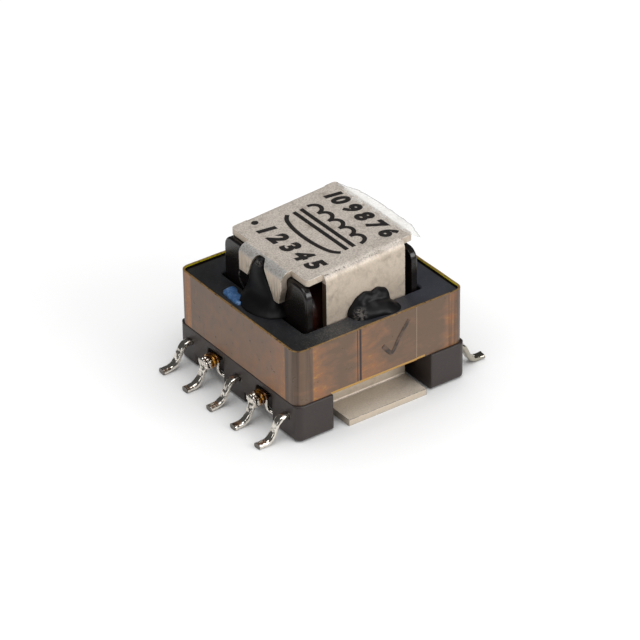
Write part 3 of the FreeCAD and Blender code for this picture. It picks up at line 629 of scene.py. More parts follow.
lumpy = add_node(tree, "GeometryNodeSetPosition", {"Geometry": swept, "Offset": push})
now = add_node(tree, "GeometryNodeInputPosition")
flat = add_node(tree, "ShaderNodeVectorMath", {0: now, 1: (-1, -1, 0)}, operation="MAXIMUM")
seated = add_node(tree, "GeometryNodeSetPosition", {"Geometry": lumpy, "Position": flat})
smooth = add_node(tree, "GeometryNodeSetShadeSmooth", {"Geometry": seated})
finish_tree(tree, smooth, tinned)

route = bpy.data.meshes.new("terminal route")
route.from_pydata(
    [Vector((x, 0, z)) * MM for x, z in PIN_PATH],
    [(i, i + 1) for i in range(len(PIN_PATH) - 1)],
    [],
)
for number in range(1, PINS_PER_ROW * 2 + 1):
    sizes["Seed"] = number * LUMPS_APART
    mesh = grow(f"terminal_{number}", route, tree, sizes)
    on_left = number <= PINS_PER_ROW
    step = PINS_PER_ROW // 2 + 1 - number if on_left else number - PINS_PER_ROW * 3 // 2 - 1
    turn = Matrix.Rotation(0 if on_left else math.pi, 4, "Z")
    mesh.transform(Matrix.Translation((0, PIN_PITCH * step, 0)) @ turn)
    add_piece(mesh.name, mesh, tinned, [f"pin_{number}"])

# Lead-outs: the winding's two ends, led through channels under the rail and turned round terminals 2 and 4.
# The turns next to the rail keep their amber enamel. The outer turns are tinned and filled with solder.
LEAD_STEPS = {"start": 1, "finish": -1}
LEAD_RADIUS = 0.13 * MM
LEAD_TURNS = 2.1
LEAD_POINTS_PER_TURN = 16
LEAD_TAIL = (
    (-3.9, -0.45, 0.34),
    (-5.5, -0.46, 0.3),
    (-5.85, -0.58, 0.36),
    (-6.1, -0.86, 0.52),
    (-6.3, -0.86, 0.66),
    (-6.45, -0.6, 0.74),
    (-6.55, -0.42, 0.95),
)
LEAD_START = -6.55
LEAD_PITCH = 0.25
TURN_HALF_WIDTH = 0.44
TURN_HALF_HEIGHT = 0.31
TURN_SQUARENESS = 0.4
PIN_HEIGHT = 1.62
ENAMEL_LIGHT = "#d0901e"
ENAMEL_DARK = "#5c300a"


def sweep_wire(name, points, radius):
    """A round wire through the points, which are in millimetres, as a mesh."""
    line = bpy.data.curves.new(name, "CURVE")
    line.dimensions = "3D"
    line.bevel_depth = radius
    line.bevel_resolution = 5
    line.use_fill_caps = True
    line.resolution_u = 6
    spline = line.splines.new("NURBS")
    spline.points.add(len(points) - 1)
    for point, place in zip(spline.points, points):
        point.co = (*(Vector(place) * MM), 1)
    spline.order_u = 3
    spline.use_endpoint_u = True
    mesh = make_plain(add_object(name, line), name)
    mesh.shade_smooth()
    return mesh


# Polyester-imide enamel on copper: clear amber over bright metal, spotted dark where soldering scorched it.
material, tree = start_material("enamelled copper wire")
place = place_in_mm(tree)
scorch = add_node(tree, "ShaderNodeTexNoise", {"Vector": place, "Scale": 2.2, "Detail": 3.0})
burnt = add_node(tree, "ShaderNodeMapRange", {"Value": scorch, "From Min": 0.36, "From Max": 0.58})
tone = add_node(tree, "ShaderNodeMix", {
    "Factor": burnt, "A": colour(ENAMEL_LIGHT), "B": colour(ENAMEL_DARK),
}, data_type="RGBA")
enamel = add_node(tree, "ShaderNodeBsdfPrincipled", {
    "Base Color": tone, "Metallic": 0.8, "Roughness": 0.25, "Coat Weight": 1.0, "Coat Roughness": 0.06,
})
add_node(tree, "ShaderNodeOutputMaterial", {"Surface": enamel})

for end, step in LEAD_STEPS.items():
    pin_y = PIN_PITCH / MM * step
    turn_points = []
    for i in range(round(LEAD_POINTS_PER_TURN * LEAD_TURNS)):
        angle = math.pi * (1 + 2 * i / LEAD_POINTS_PER_TURN)
        across, rise = math.cos(angle), -math.sin(angle)
        square = 1 / max(abs(across), abs(rise)) ** TURN_SQUARENESS
        turn_points.append((
            LEAD_START - LEAD_PITCH * i / LEAD_POINTS_PER_TURN,
            pin_y + TURN_HALF_WIDTH * across * square,
            PIN_HEIGHT + TURN_HALF_HEIGHT * rise * square,
        ))
    mesh = sweep_wire(f"{end}_lead_turns", turn_points, LEAD_RADIUS)
    add_piece(mesh.name, mesh, material, [f"{end}_lead"])
    first = turn_points[0]
    tail = [(x, pin_y + aside, z) for x, aside, z in LEAD_TAIL]
    tail += [(first[0], first[1], first[2] - 0.3), first]
    mesh = sweep_wire(f"{end}_lead_tail", tail, LEAD_RADIUS)
    add_piece(mesh.name, mesh, tinned)

# Solder: tin from the dip, which fills the outer turns of each lead-out and sags a little below the terminal.
# Each is a lump of melted balls, set in two leaning rings round the terminal.
SOLDER_VOXEL = 0.04
SOLDER_TURNS = (-7.13, -7.38)
SOLDER_BALLS = 9
SOLDER_BEAD = (0.16, 0.17, 0.17)
SOLDER_RING = (0.07, 0.36, 0.29)
SOLDER_DROP = 0.03
SOLDER_SAGS = (((-7.25, 0.0, -0.02), (0.3, 0.34, 0.26)), ((-7.2, -0.2, -0.3), (0.26, 0.24, 0.2)))


def blend_balls(name, balls, voxel, rounds, roughness, grain, seed):
    """Balls (centre, radii) melted into one lump, in millimetres, then roughened by noise of this grain."""
    builder = bmesh.new()
    for centre, radii in balls:
        ball = bmesh.ops.create_icosphere(builder, subdivisions=3, radius=1)["verts"]
        bmesh.ops.scale(builder, vec=Vector(radii), verts=ball)
        bmesh.ops.translate(builder, vec=Vector(centre), verts=ball)
    holder = add_object(name, take_mesh(builder, name))
    remesh = holder.modifiers.new("melt", "REMESH")
    remesh.mode = "VOXEL"
    remesh.voxel_size = voxel
    relax = holder.modifiers.new("relax", "SMOOTH")
    relax.factor = 0.5
    relax.iterations = rounds
    lump = make_plain(holder, name)
    normals = [Vector(vertex.normal) for vertex in lump.vertices]
    for vertex, normal in zip(lump.vertices, normals):
        vertex.co += normal * roughness * noise.noise(vertex.co / grain + Vector((seed, seed, seed)))
    lump.shade_smooth()
    return lump


for end, step in LEAD_STEPS.items():
    pin_y = PIN_PITCH / MM * step
    balls = []
    lean, wide, high = SOLDER_RING
    for x in SOLDER_TURNS:
        for i in range(SOLDER_BALLS):
            angle = 2 * math.pi * i / SOLDER_BALLS
            across, rise = math.cos(angle), math.sin(angle)
            centre = (x - lean * rise, pin_y + wide * across, PIN_HEIGHT - SOLDER_DROP + high * rise)
            balls.append((centre, SOLDER_BEAD))
    for (x, aside, above), radii in SOLDER_SAGS:
        balls.append(((x, pin_y + aside, PIN_HEIGHT + above), radii))
    mesh = blend_balls(
        f"{end}_solder_lump", balls, SOLDER_VOXEL, rounds=4, roughness=0.06, grain=0.25, seed=step)
    mesh.transform(Matrix.Scale(MM, 4))
    add_piece(mesh.name, mesh, tinned, [f"{end}_solder"])

# Marking: black ink stamped on the plate. It numbers the ten terminals along their two sides,
# with a dot at terminal 1 and the plain sign of a wound core between them.
INK_BLACK = "#16100f"
INK_WORN = "#4a423c"
INK_LIFT = 0.004
INK_THICKNESS = 0.006
INK_HEIGHT = 1.3
INK_STROKE = 0.3
INK_FATNESS = 0.06
INK_SLANT = 0.22
INK_HALF_DEPTH = 0.5
INK_ROWS = (("10 9 8 7 6", 2.45, 3.2, 6.7), ("1 2 3 4 5", -3.15, 2.7, 6.2))
INK_DOT = (-2.6, 3.54)
INK_DOT_RADIUS = 0.24
PLATE_LEFT = -4.35
PLATE_LEFT_TOP = 9.84
PLATE_SLOPE = 0.067


def plate_height(x):
    """Height of the plate's upper face, in millimetres."""
    return PLATE_LEFT_TOP + (x - PLATE_LEFT) * PLATE_SLOPE


def lay_on_plate(mesh):
    """Stand a flat drawing, in millimetres, on the sloping plate, and turn it to metres."""
    for vertex in mesh.vertices:
        vertex.co.z += plate_height(vertex.co.x) + INK_LIFT
    mesh.transform(Matrix.Scale(MM, 4))


# Stamping ink on tin: brown-black, matte, thinner where the plate's grain shows through.
material, tree = start_material("stamping ink, black")
place = place_in_mm(tree)
thin = add_node(tree, "ShaderNodeTexNoise", {"Vector": place, "Scale": 6.0, "Detail": 4.0})
worn = add_node(tree, "ShaderNodeMapRange", {"Value": thin, "From Min": 0.6, "From Max": 0.8})
tone = add_node(tree, "ShaderNodeMix", {
    "Factor": worn, "A": colour(INK_BLACK), "B": colour(INK_WORN),
}, data_type="RGBA")
ink = add_node(tree, "ShaderNodeBsdfPrincipled", {"Base Color": tone, "Roughness": 0.6})
add_node(tree, "ShaderNodeOutputMaterial", {"Surface": ink})

for words, foot, start, run in INK_ROWS:
    text = bpy.data.curves.new("stamp", "FONT")
    text.body = words
    text.offset = INK_FATNESS
    text.shear = INK_SLANT
    text.extrude = INK_HALF_DEPTH
    mesh = make_plain(add_object("stamp", text), "stamp")
    wide = [vertex.co.x for vertex in mesh.vertices]
    high = [vertex.co.y for vertex in mesh.vertices]
    for vertex in mesh.vertices:
        along = (vertex.co.x - min(wide)) / (max(wide) - min(wide)) * run
        above = (vertex.co.y - min(high)) / (max(high) - min(high)) * INK_HEIGHT
        vertex.co = (foot + above, start - along, vertex.co.z * INK_THICKNESS)
    lay_on_plate(mesh)
    name = f"numbers_from_{words.split()[0]}"
    add_piece(name, mesh, material)


def draw_stroke(points):
    """A flat round-ended stroke of ink through points on the plate, in millimetres."""
    mesh = sweep_wire("stroke", [(x, y, 0) for x, y in points], INK_STROKE / 2 * MM)
    mesh.transform(Matrix.Scale(1 / MM, 4))
    for vertex in mesh.vertices:
        vertex.co.z *= INK_THICKNESS / INK_STROKE
    lay_on_plate(mesh)
    return mesh


# the sign of a wound core: a fine winding of five humps, two bars for the core, and a heavy turn of one hump
SIGN_HALF = 2.9
SIGN_BARS = (0.55, 0.0)
SIGN_WINDINGS = ((1.05, 1, 5, 0.62), (-0.5, -1, 1, 0.75))
HUMP_POINTS = 9
strokes = [[(x, SIGN_HALF), (x, -SIGN_HALF)] for x in SIGN_BARS]
for foot, away, humps, reach in SIGN_WINDINGS:
    half = SIGN_HALF / humps
    for hump in range(humps):
        middle = SIGN_HALF - half * (2 * hump + 1)
        strokes.append([
            (
                foot + away * reach * math.sin(math.pi * i / (HUMP_POINTS - 1)),
                middle + half * math.cos(math.pi * i / (HUMP_POINTS - 1)),
            )
            for i in range(HUMP_POINTS)
        ])
for number, points in enumerate(strokes, start=1):
    add_piece(f"sign_stroke_{number}", draw_stroke(points), material)
builder = bmesh.new()
bmesh.ops.create_cone(
    builder, cap_ends=True, segments=32, radius1=INK_DOT_RADIUS, radius2=INK_DOT_RADIUS, depth=INK_THICKNESS,
)
mesh = take_mesh(builder, "first_terminal_dot")
mesh.transform(Matrix.Translation((*INK_DOT, 0)))
lay_on_plate(mesh)
add_piece(mesh.name, mesh, material)

# Tape: three turns and a bit of amber polyimide film with adhesive, wound tight round the two core halves.
# It starts and ends on the near face. Each turn wanders a little up or down, so the edges show as layers.
CORE_LENGTH = 12.8 * MM
CORE_WIDTH = 12.6 * MM
CORE_ROUND = 0.45 * MM
TAPE_BOTTOM = 2.69 * MM
TAPE_WIDTH = 3.96 * MM
TAPE_LAYER = 0.05 * MM
TAPE_THICKNESS = 0.04 * MM
TAPE_START = -1.7 * MM
TAPE_END = 2.77 * MM
TAPE_TURNS = 3
TAPE_WANDER = 0.05 * MM
TAPE_RIPPLE = 0.02 * MM
TAPE_STEPS = 1600
TAPE_ROWS = 7
TAPE_WELD = 0.0005 * MM
TAPE_CREASE = 0.7
POLYIMIDE_TAUPE = "#67513f"
POLYIMIDE_WARM = "#7e5c43"
POLYIMIDE_AMBER = "#9a633b"
POLYIMIDE_GOLD = "#ad8440"
POLYIMIDE_EDGE = "#86683c"
POLYIMIDE_DARK = "#1d1511"
POLYIMIDE_YELLOW = "#f8e820"
WET_ON_NEAR_FACE = (
    (-6.5, 0.0), (-5.32, 0.05), (-5.28, 0.85), (-4.7, 0.6), (-4.2, 0.36), (-3.2, 0.12), (-2.2, 0.12),
    (-1.9, 0.45), (-1.4, 0.65), (-0.6, 0.45), (0.2, 0.25), (1.0, 0.05), (3.4, 0.0), (4.8, 0.05),
    (5.3, 0.55), (5.95, 0.7), (6.0, 0.05),
)
WET_ON_LEFT_FACE = (
    (-6.5, 0.0), (-5.3, 0.05), (-5.26, 0.8), (-4.4, 0.6), (-3.0, 0.42), (-1.0, 0.36), (1.5, 0.28),
    (3.4, 0.26), (5.0, 0.1), (5.16, 0.1), (5.2, 0.95), (5.85, 0.95), (5.9, 0.0),
)
TAPE_SPAN = 13.2
TAPE_MARKS = ((-1.86, 0.03, "#2c201b"), (-1.64, 0.08, "#241817"), (2.77, 0.022, "#a8937a"))
HEM_TOP_MM = 2.84
HEM_RUN = (-3.95, 3.45)
YELLOW_FROM_MM = 6.57
CORNER_FROM_MM = 5.3
FACE_SLOPE = 0.7
CUT_SLOPE = 0.6

# Polyimide film over grey ferrite: taupe under a smooth bright skin. Where adhesive has wetted the layers it
# turns copper orange, in soft fans a millimetre or two across. Pull lines run upright at the corners.
# Cut edges are golden with dark flecks. Faces turned in towards the core are painted dark as painted shade,
# and yellow near the top as painted light coming through from behind.
material, tree = start_material("polyimide tape, adhesive coated")
place = place_in_mm(tree)
axis = add_node(tree, "ShaderNodeSeparateXYZ", {"Vector": place})
side = add_node(tree, "ShaderNodeNewGeometry")
facing = add_node(tree, "ShaderNodeSeparateXYZ", {"Vector": side.outputs["True Normal"]})
profiles = []
for letter, stops in (("X", WET_ON_NEAR_FACE), ("Y", WET_ON_LEFT_FACE)):
    share = add_node(tree, "ShaderNodeMapRange", {
        "Value": axis.outputs[letter], "From Min": -TAPE_SPAN / 2, "From Max": TAPE_SPAN / 2,
    })
    profile = add_node(tree, "ShaderNodeValToRGB", {"Fac": share})
    for i, (at, wetness) in enumerate(stops):
        stop = profile.color_ramp.elements[i] if i < 2 else profile.color_ramp.elements.new(1)
        stop.position = at / TAPE_SPAN + 0.5
        stop.color = (wetness, wetness, wetness, 1)
    profiles.append(profile)
sideways = add_node(tree, "ShaderNodeMath", {0: facing.outputs["X"]}, operation="ABSOLUTE")
on_left = add_node(tree, "ShaderNodeMath", {0: sideways, 1: FACE_SLOPE}, operation="GREATER_THAN")
likely = add_node(tree, "ShaderNodeMix", {
    "Factor": on_left, "A": profiles[0], "B": profiles[1],
}, data_type="RGBA")
drawn = add_node(tree, "ShaderNodeMapping", {
    "Vector": place, "Rotation": (0, math.radians(38), 0), "Scale": (0.45, 1.0, 1.0),
})
fans = add_node(tree, "ShaderNodeTexNoise", {
    "Vector": drawn, "Scale": 1.7, "Detail": 5.0, "Roughness": 0.6, "Distortion": 0.3,
})
fan = add_node(tree, "ShaderNodeMapRange", {
    "Value": fans, "From Min": 0.3, "From Max": 0.7, "To Min": -0.45, "To Max": 0.45,
})
low = add_node(tree, "ShaderNodeMapRange", {
    "Value": axis.outputs["Z"], "From Min": 2.7, "From Max": 6.6, "To Min": 0.1, "To Max": -0.1,
})
strong = add_node(tree, "ShaderNodeMapRange", {"Value": on_left, "To Min": 0.85, "To Max": 0.5})
sunk = add_node(tree, "ShaderNodeMath", {0: fan, 1: strong, 2: low}, operation="MULTIPLY_ADD")
soaked = add_node(tree, "ShaderNodeMath", {0: sunk, 1: likely}, operation="ADD")
warm = add_node(tree, "ShaderNodeMapRange", {
    "Value": soaked, "From Min": 0.0, "From Max": 0.6,
}, interpolation_type="SMOOTHSTEP")
wet = add_node(tree, "ShaderNodeMapRange", {
    "Value": soaked, "From Min": 0.4, "From Max": 1.15,
}, interpolation_type="SMOOTHSTEP")
dry = add_node(tree, "ShaderNodeMix", {
    "Factor": warm, "A": colour(POLYIMIDE_TAUPE), "B": colour(POLYIMIDE_WARM),
}, data_type="RGBA")
fibres = add_node(tree, "ShaderNodeTexNoise", {
    "Vector": drawn, "Scale": 6.0, "Detail": 4.0, "Roughness": 0.6,
})
golden = add_node(tree, "ShaderNodeMapRange", {"Value": fibres, "From Min": 0.5, "From Max": 0.68})
copper = add_node(tree, "ShaderNodeMix", {
    "Factor": golden, "A": colour(POLYIMIDE_AMBER), "B": colour(POLYIMIDE_GOLD),
}, data_type="RGBA")
face = add_node(tree, "ShaderNodeMix", {"Factor": wet, "A": dry, "B": copper}, data_type="RGBA")

# pull lines on the corners
pulled = add_node(tree, "ShaderNodeMapping", {"Vector": place, "Scale": (1.0, 1.0, 0.03)})
pulls = add_node(tree, "ShaderNodeTexNoise", {"Vector": pulled, "Scale": 3.4, "Detail": 3.0})
pull = add_node(tree, "ShaderNodeMapRange", {
    "Value": pulls, "From Min": 0.42, "From Max": 0.62, "To Max": 0.5,
})
wide = add_node(tree, "ShaderNodeMath", {0: axis.outputs["X"]}, operation="ABSOLUTE")
deep = add_node(tree, "ShaderNodeMath", {0: axis.outputs["Y"]}, operation="ABSOLUTE")
inner = add_node(tree, "ShaderNodeMath", {0: wide, 1: deep}, operation="MINIMUM")
corner = add_node(tree, "ShaderNodeMath", {0: inner, 1: CORNER_FROM_MM}, operation="GREATER_THAN")
lined = add_node(tree, "ShaderNodeMath", {0: corner, 1: pull}, operation="MULTIPLY")
tone = add_node(tree, "ShaderNodeMix", {
    "Factor": lined, "A": face, "B": colour(POLYIMIDE_DARK),
}, data_type="RGBA")

# the first end shows through the turns above it as two dark lines, and the last end as a pale one
near = add_node(tree, "ShaderNodeMath", {0: facing.outputs["Y"], 1: -FACE_SLOPE}, operation="LESS_THAN")
for at, half, shade in TAPE_MARKS:
    line = add_node(tree, "ShaderNodeMath", {0: axis.outputs["X"], 1: at, 2: half}, operation="COMPARE")
    shown = add_node(tree, "ShaderNodeMath", {0: line, 1: near}, operation="MULTIPLY")
    tone = add_node(tree, "ShaderNodeMix", {
        "Factor": shown, "A": tone, "B": colour(shade),
    }, data_type="RGBA")

# cut edges above and below, and the hem that hangs free between the rails, painted gold as a painted glow of
# light through it
flecks = add_node(tree, "ShaderNodeTexNoise", {"Vector": place, "Scale": 4.5, "Detail": 3.0})
fleck = add_node(tree, "ShaderNodeMapRange", {"Value": flecks, "From Min": 0.33, "From Max": 0.45})
rim = add_node(tree, "ShaderNodeMix", {
    "Factor": fleck, "A": colour(POLYIMIDE_DARK), "B": colour(POLYIMIDE_EDGE),
}, data_type="RGBA")
flat = add_node(tree, "ShaderNodeMath", {0: facing.outputs["Z"]}, operation="ABSOLUTE")
cut = add_node(tree, "ShaderNodeMath", {0: flat, 1: CUT_SLOPE}, operation="GREATER_THAN")
edged = add_node(tree, "ShaderNodeMix", {"Factor": cut, "A": tone, "B": rim}, data_type="RGBA")
hem = add_node(tree, "ShaderNodeMath", {0: axis.outputs["Z"], 1: HEM_TOP_MM}, operation="LESS_THAN")
hanging = add_node(tree, "ShaderNodeMath", {
    0: axis.outputs["X"], 1: sum(HEM_RUN) / 2, 2: (HEM_RUN[1] - HEM_RUN[0]) / 2,
}, operation="COMPARE")
near_hem = add_node(tree, "ShaderNodeMath", {0: hem, 1: near}, operation="MULTIPLY")
hem_painted_glow = add_node(tree, "ShaderNodeMath", {0: near_hem, 1: hanging}, operation="MULTIPLY")
hemmed = add_node(tree, "ShaderNodeMix", {
    "Factor": hem_painted_glow, "A": edged, "B": colour(POLYIMIDE_GOLD),
}, data_type="RGBA")
# painted shade on faces turned in towards the core, with painted light near the top
inward = add_node(tree, "ShaderNodeVectorMath", {
    0: side.outputs["True Normal"], 1: place,
}, operation="DOT_PRODUCT")
turned = add_node(tree, "ShaderNodeMath", {0: inward, 1: 0.0}, operation="LESS_THAN")
high = add_node(tree, "ShaderNodeMath", {0: axis.outputs["Z"], 1: YELLOW_FROM_MM}, operation="GREATER_THAN")
clean = add_node(tree, "ShaderNodeMapRange", {"Value": flecks, "From Min": 0.26, "From Max": 0.36})
thin = add_node(tree, "ShaderNodeMath", {0: high, 1: clean}, operation="MULTIPLY")
inside_painted_shade_and_light = add_node(tree, "ShaderNodeMix", {
    "Factor": thin, "A": colour(POLYIMIDE_DARK), "B": colour(POLYIMIDE_YELLOW),
}, data_type="RGBA")
finished = add_node(tree, "ShaderNodeMix", {"Factor": turned, "A": hemmed, "B": inside_painted_shade_and_light}, data_type="RGBA")
dull = add_node(tree, "ShaderNodeMapRange", {"Value": fans, "To Min": 0.2, "To Max": 0.42})
relief = add_node(tree, "ShaderNodeBump", {"Height": pulls, "Strength": 0.25, "Distance": 0.03 * MM})
polyimide = add_node(tree, "ShaderNodeBsdfPrincipled", {
    "Base Color": finished, "Roughness": dull, "Normal": relief,
})
add_node(tree, "ShaderNodeOutputMaterial", {"Surface": polyimide})

# the tree lays a long grid along the core's outline, turn over turn, and gives it a thickness
arc = math.pi / 2 * CORE_ROUND
loop_length = 2 * (CORE_LENGTH + CORE_WIDTH - 4 * CORE_ROUND) + 4 * arc
near_face = 3 * arc + CORE_LENGTH - 2 * CORE_ROUND + CORE_WIDTH - 2 * CORE_ROUND
sizes = {
    "Length": CORE_LENGTH,
    "Depth": CORE_WIDTH,
    "Corner": CORE_ROUND,
    "Start": near_face + TAPE_START + CORE_LENGTH / 2 - CORE_ROUND,
    "Run": TAPE_TURNS * loop_length + TAPE_END - TAPE_START,
    "Loop": loop_length,
    "Layer": TAPE_LAYER,
    "Bottom": TAPE_BOTTOM,
    "Width": TAPE_WIDTH,
    "Wander": TAPE_WANDER,
    "Ripple": TAPE_RIPPLE,
    "Thickness": TAPE_THICKNESS,
}
tree, size = start_tree("wound tape", sizes)
outline = add_node(tree, "GeometryNodeCurvePrimitiveQuadrilateral", {
    "Width": size["Length"], "Height": size["Depth"],
})
loop = add_node(tree, "GeometryNodeFilletCurve", {
    "Curve": outline, "Count": 10, "Radius": size["Corner"],
}, mode="POLY")
strip = add_node(tree, "GeometryNodeMeshGrid", {
    "Size X": 1.0, "Size Y": 1.0, "Vertices X": TAPE_STEPS, "Vertices Y": TAPE_ROWS,
})
spot = add_node(tree, "GeometryNodeInputPosition")
share = add_node(tree, "ShaderNodeVectorMath", {0: spot, 1: (0.5, 0.5, 0)}, operation="ADD")
shares = add_node(tree, "ShaderNodeSeparateXYZ", {"Vector": share})
laid = add_node(tree, "ShaderNodeMath", {0: shares.outputs["X"], 1: size["Run"]}, operation="MULTIPLY")
reached = add_node(tree, "ShaderNodeMath", {0: laid, 1: size["Start"]}, operation="ADD")
around = add_node(tree, "ShaderNodeMath", {0: reached, 1: size["Loop"]}, operation="FLOORED_MODULO")
foot = add_node(tree, "GeometryNodeSampleCurve", {"Curves": loop, "Length": around}, mode="LENGTH")
outward = add_node(tree, "ShaderNodeVectorMath", {
    0: foot.outputs["Tangent"], 1: (0, 0, 1),
}, operation="CROSS_PRODUCT")
turns = add_node(tree, "ShaderNodeMath", {0: laid, 1: size["Loop"]}, operation="DIVIDE")
raised = add_node(tree, "ShaderNodeMath", {0: turns, 1: size["Layer"]}, operation="MULTIPLY")
low_edge = add_node(tree, "ShaderNodeTexNoise", {
    "W": laid, "Scale": 0.35 / MM, "Detail": 3.0,
}, noise_dimensions="1D")
waves = add_node(tree, "ShaderNodeTexNoise", {
    "Vector": foot.outputs["Position"], "Scale": 0.5 / MM, "Detail": 1.0,
})
wave = add_node(tree, "ShaderNodeMath", {0: waves, 1: size["Ripple"]}, operation="MULTIPLY")
off = add_node(tree, "ShaderNodeMath", {0: raised, 1: wave}, operation="ADD")
aside = add_node(tree, "ShaderNodeVectorMath", {0: outward, "Scale": off}, operation="SCALE")
drift = add_node(tree, "ShaderNodeMath", {0: low_edge, 1: 0.5}, operation="SUBTRACT")
drifted = add_node(tree, "ShaderNodeMath", {0: drift, 1: size["Wander"]}, operation="MULTIPLY")
across = add_node(tree, "ShaderNodeMath", {0: shares.outputs["Y"], 1: size["Width"]}, operation="MULTIPLY")
risen = add_node(tree, "ShaderNodeMath", {0: across, 1: size["Bottom"]}, operation="ADD")
rise = add_node(tree, "ShaderNodeMath", {0: risen, 1: drifted}, operation="ADD")
up = add_node(tree, "ShaderNodeCombineXYZ", {"Z": rise})
beside = add_node(tree, "ShaderNodeVectorMath", {0: foot.outputs["Position"], 1: aside}, operation="ADD")
final = add_node(tree, "ShaderNodeVectorMath", {0: beside, 1: up}, operation="ADD")
wound = add_node(tree, "GeometryNodeSetPosition", {"Geometry": strip, "Position": final})
smooth = add_node(tree, "GeometryNodeSetShadeSmooth", {"Geometry": wound, "Shade Smooth": True})
thick = add_node(tree, "GeometryNodeExtrudeMesh", {
    "Mesh": smooth, "Offset Scale": size["Thickness"], "Individual": False,
})
square = add_node(tree, "GeometryNodeSetShadeSmooth", {
    "Geometry": thick, "Selection": thick.outputs["Side"], "Shade Smooth": False,
})
inside = add_node(tree, "GeometryNodeFlipFaces", {"Mesh": smooth})
joined = add_node(tree, "GeometryNodeJoinGeometry")
tree.links.new(inside.outputs[0], joined.inputs[0])
tree.links.new(square.outputs[0], joined.inputs[0])
closed = add_node(tree, "GeometryNodeMergeByDistance", {"Geometry": joined, "Distance": TAPE_WELD})
bend = add_node(tree, "GeometryNodeInputMeshEdgeAngle")
steep = add_node(tree, "ShaderNodeMath", {0: bend, 1: TAPE_CREASE}, operation="GREATER_THAN")
crisp = add_node(tree, "GeometryNodeSetShadeSmooth", {
    "Geometry": closed, "Selection": steep, "Shade Smooth": False,
}, domain="EDGE")
finish_tree(tree, crisp, material)

mesh = grow("wound_tape", bpy.data.meshes.new("tape start"), tree, sizes)
add_piece("wound_tape", mesh, material, ["core_tape"])

# Inspection mark: one tick drawn by hand on the near face of the tape with a broad felt pen.
# It is a flat round-ended stroke that stands 0.02 mm proud of the tape.
TICK = ((0.1, 4.75), (0.35, 4.4), (0.75, 3.95), (0.95, 4.1), (1.45, 5.05), (2.15, 5.95))
TICK_STROKE = 0.3
TICK_FACE = -6.51
TICK_FLAT = 0.12
FELT_DARK = "#33281f"
FELT_THIN = "#5d4737"

# Felt-pen ink on tape: dark brown, thinner in drifts where the pen ran dry, with a gloss like the tape's.
material, tree = start_material("felt-pen ink, dry")
place = place_in_mm(tree)
drift = add_node(tree, "ShaderNodeTexNoise", {"Vector": place, "Scale": 2.4, "Detail": 4.0})
thin = add_node(tree, "ShaderNodeMapRange", {"Value": drift, "From Min": 0.42, "From Max": 0.66})
tone = add_node(tree, "ShaderNodeMix", {
    "Factor": thin, "A": colour(FELT_DARK), "B": colour(FELT_THIN),
}, data_type="RGBA")
ink = add_node(tree, "ShaderNodeBsdfPrincipled", {"Base Color": tone, "Roughness": 0.45})
add_node(tree, "ShaderNodeOutputMaterial", {"Surface": ink})

mesh = sweep_wire("inspection_tick", [(x, 0, z) for x, z in TICK], TICK_STROKE / 2 * MM)
for vertex in mesh.vertices:
    vertex.co.y = vertex.co.y * TICK_FLAT + TICK_FACE * MM
add_piece("inspection_tick", mesh, material)

# Film: a scrap of thin clear polyester left stuck to the plate's far edge, torn and lifting a little.
# It is a curved sheet laid between two measured edges.
FILM_INNER = (
    (3.86, 3.6), (3.8, 2.6), (3.62, 1.6), (3.7, 0.9), (3.5, 0.2), (3.68, -0.8), (3.62, -1.9), (3.8, -2.8),
    (3.95, -4.1),
)
FILM_OUTER = ((4.16, 3.66), (4.68, 2.05), (4.77, 0.3), (4.77, -1.6), (4.74, -3.3), (4.28, -4.86))
FILM_ROWS = 90
FILM_STEPS = 18
FILM_THICKNESS = 0.03 * MM
FILM_GAP = 0.012
FILM_CURL = 0.1
FILM_RAGGED = 0.06
FILM_HEM = 0.06
FILM_TEARS = 0.23
FILM_WAVES = 0.8
FILM_RIM_DENSITY = 0.8
PLATE_EDGE = 4.2
FILM_CLEAR = "#f1efea"
FILM_TORN = "#8d8f90"


def along_edge(points, share):
    """The place at this share of the way along an edge given by points."""
    run = share * (len(points) - 1)
    first = min(int(run), len(points) - 2)
    return Vector(points[first]).lerp(Vector(points[first + 1]), run - first)


# Clear polyester, creased: nearly invisible on white, milky where it has parted from the tin,
# and grey along its torn rim, where the film is stretched and catches the light edge on.
material, tree = start_material("polyester film, clear")
place = place_in_mm(tree)
crease = add_node(tree, "ShaderNodeTexNoise", {
    "Vector": place, "Scale": 1.6, "Detail": 4.0, "Distortion": 0.5,
})
torn = add_node(tree, "ShaderNodeAttribute", attribute_name="rim")
axis = add_node(tree, "ShaderNodeSeparateXYZ", {"Vector": place})
parted = add_node(tree, "ShaderNodeMapRange", {
    "Value": axis.outputs["X"], "From Min": 3.7, "From Max": 4.25, "To Min": -0.35, "To Max": 0.1,
})
clouded = add_node(tree, "ShaderNodeMapRange", {
    "Value": crease, "From Min": 0.35, "From Max": 0.65, "To Min": 0.18, "To Max": 0.55,
})
milky = add_node(tree, "ShaderNodeMath", {0: parted, 1: clouded}, operation="ADD", use_clamp=True)
rimmed = add_node(tree, "ShaderNodeMath", {0: torn.outputs["Fac"], 1: FILM_RIM_DENSITY}, operation="MULTIPLY")
dense = add_node(tree, "ShaderNodeMath", {0: milky, 1: rimmed}, operation="MAXIMUM")
tone = add_node(tree, "ShaderNodeMix", {
    "Factor": torn.outputs["Fac"], "A": colour(FILM_CLEAR), "B": colour(FILM_TORN),
}, data_type="RGBA")
relief = add_node(tree, "ShaderNodeBump", {"Height": crease, "Strength": 0.5, "Distance": 0.08 * MM})
film = add_node(tree, "ShaderNodeBsdfPrincipled", {
    "Base Color": tone, "Roughness": 0.15, "Alpha": dense, "Normal": relief,
})
add_node(tree, "ShaderNodeOutputMaterial", {"Surface": film})

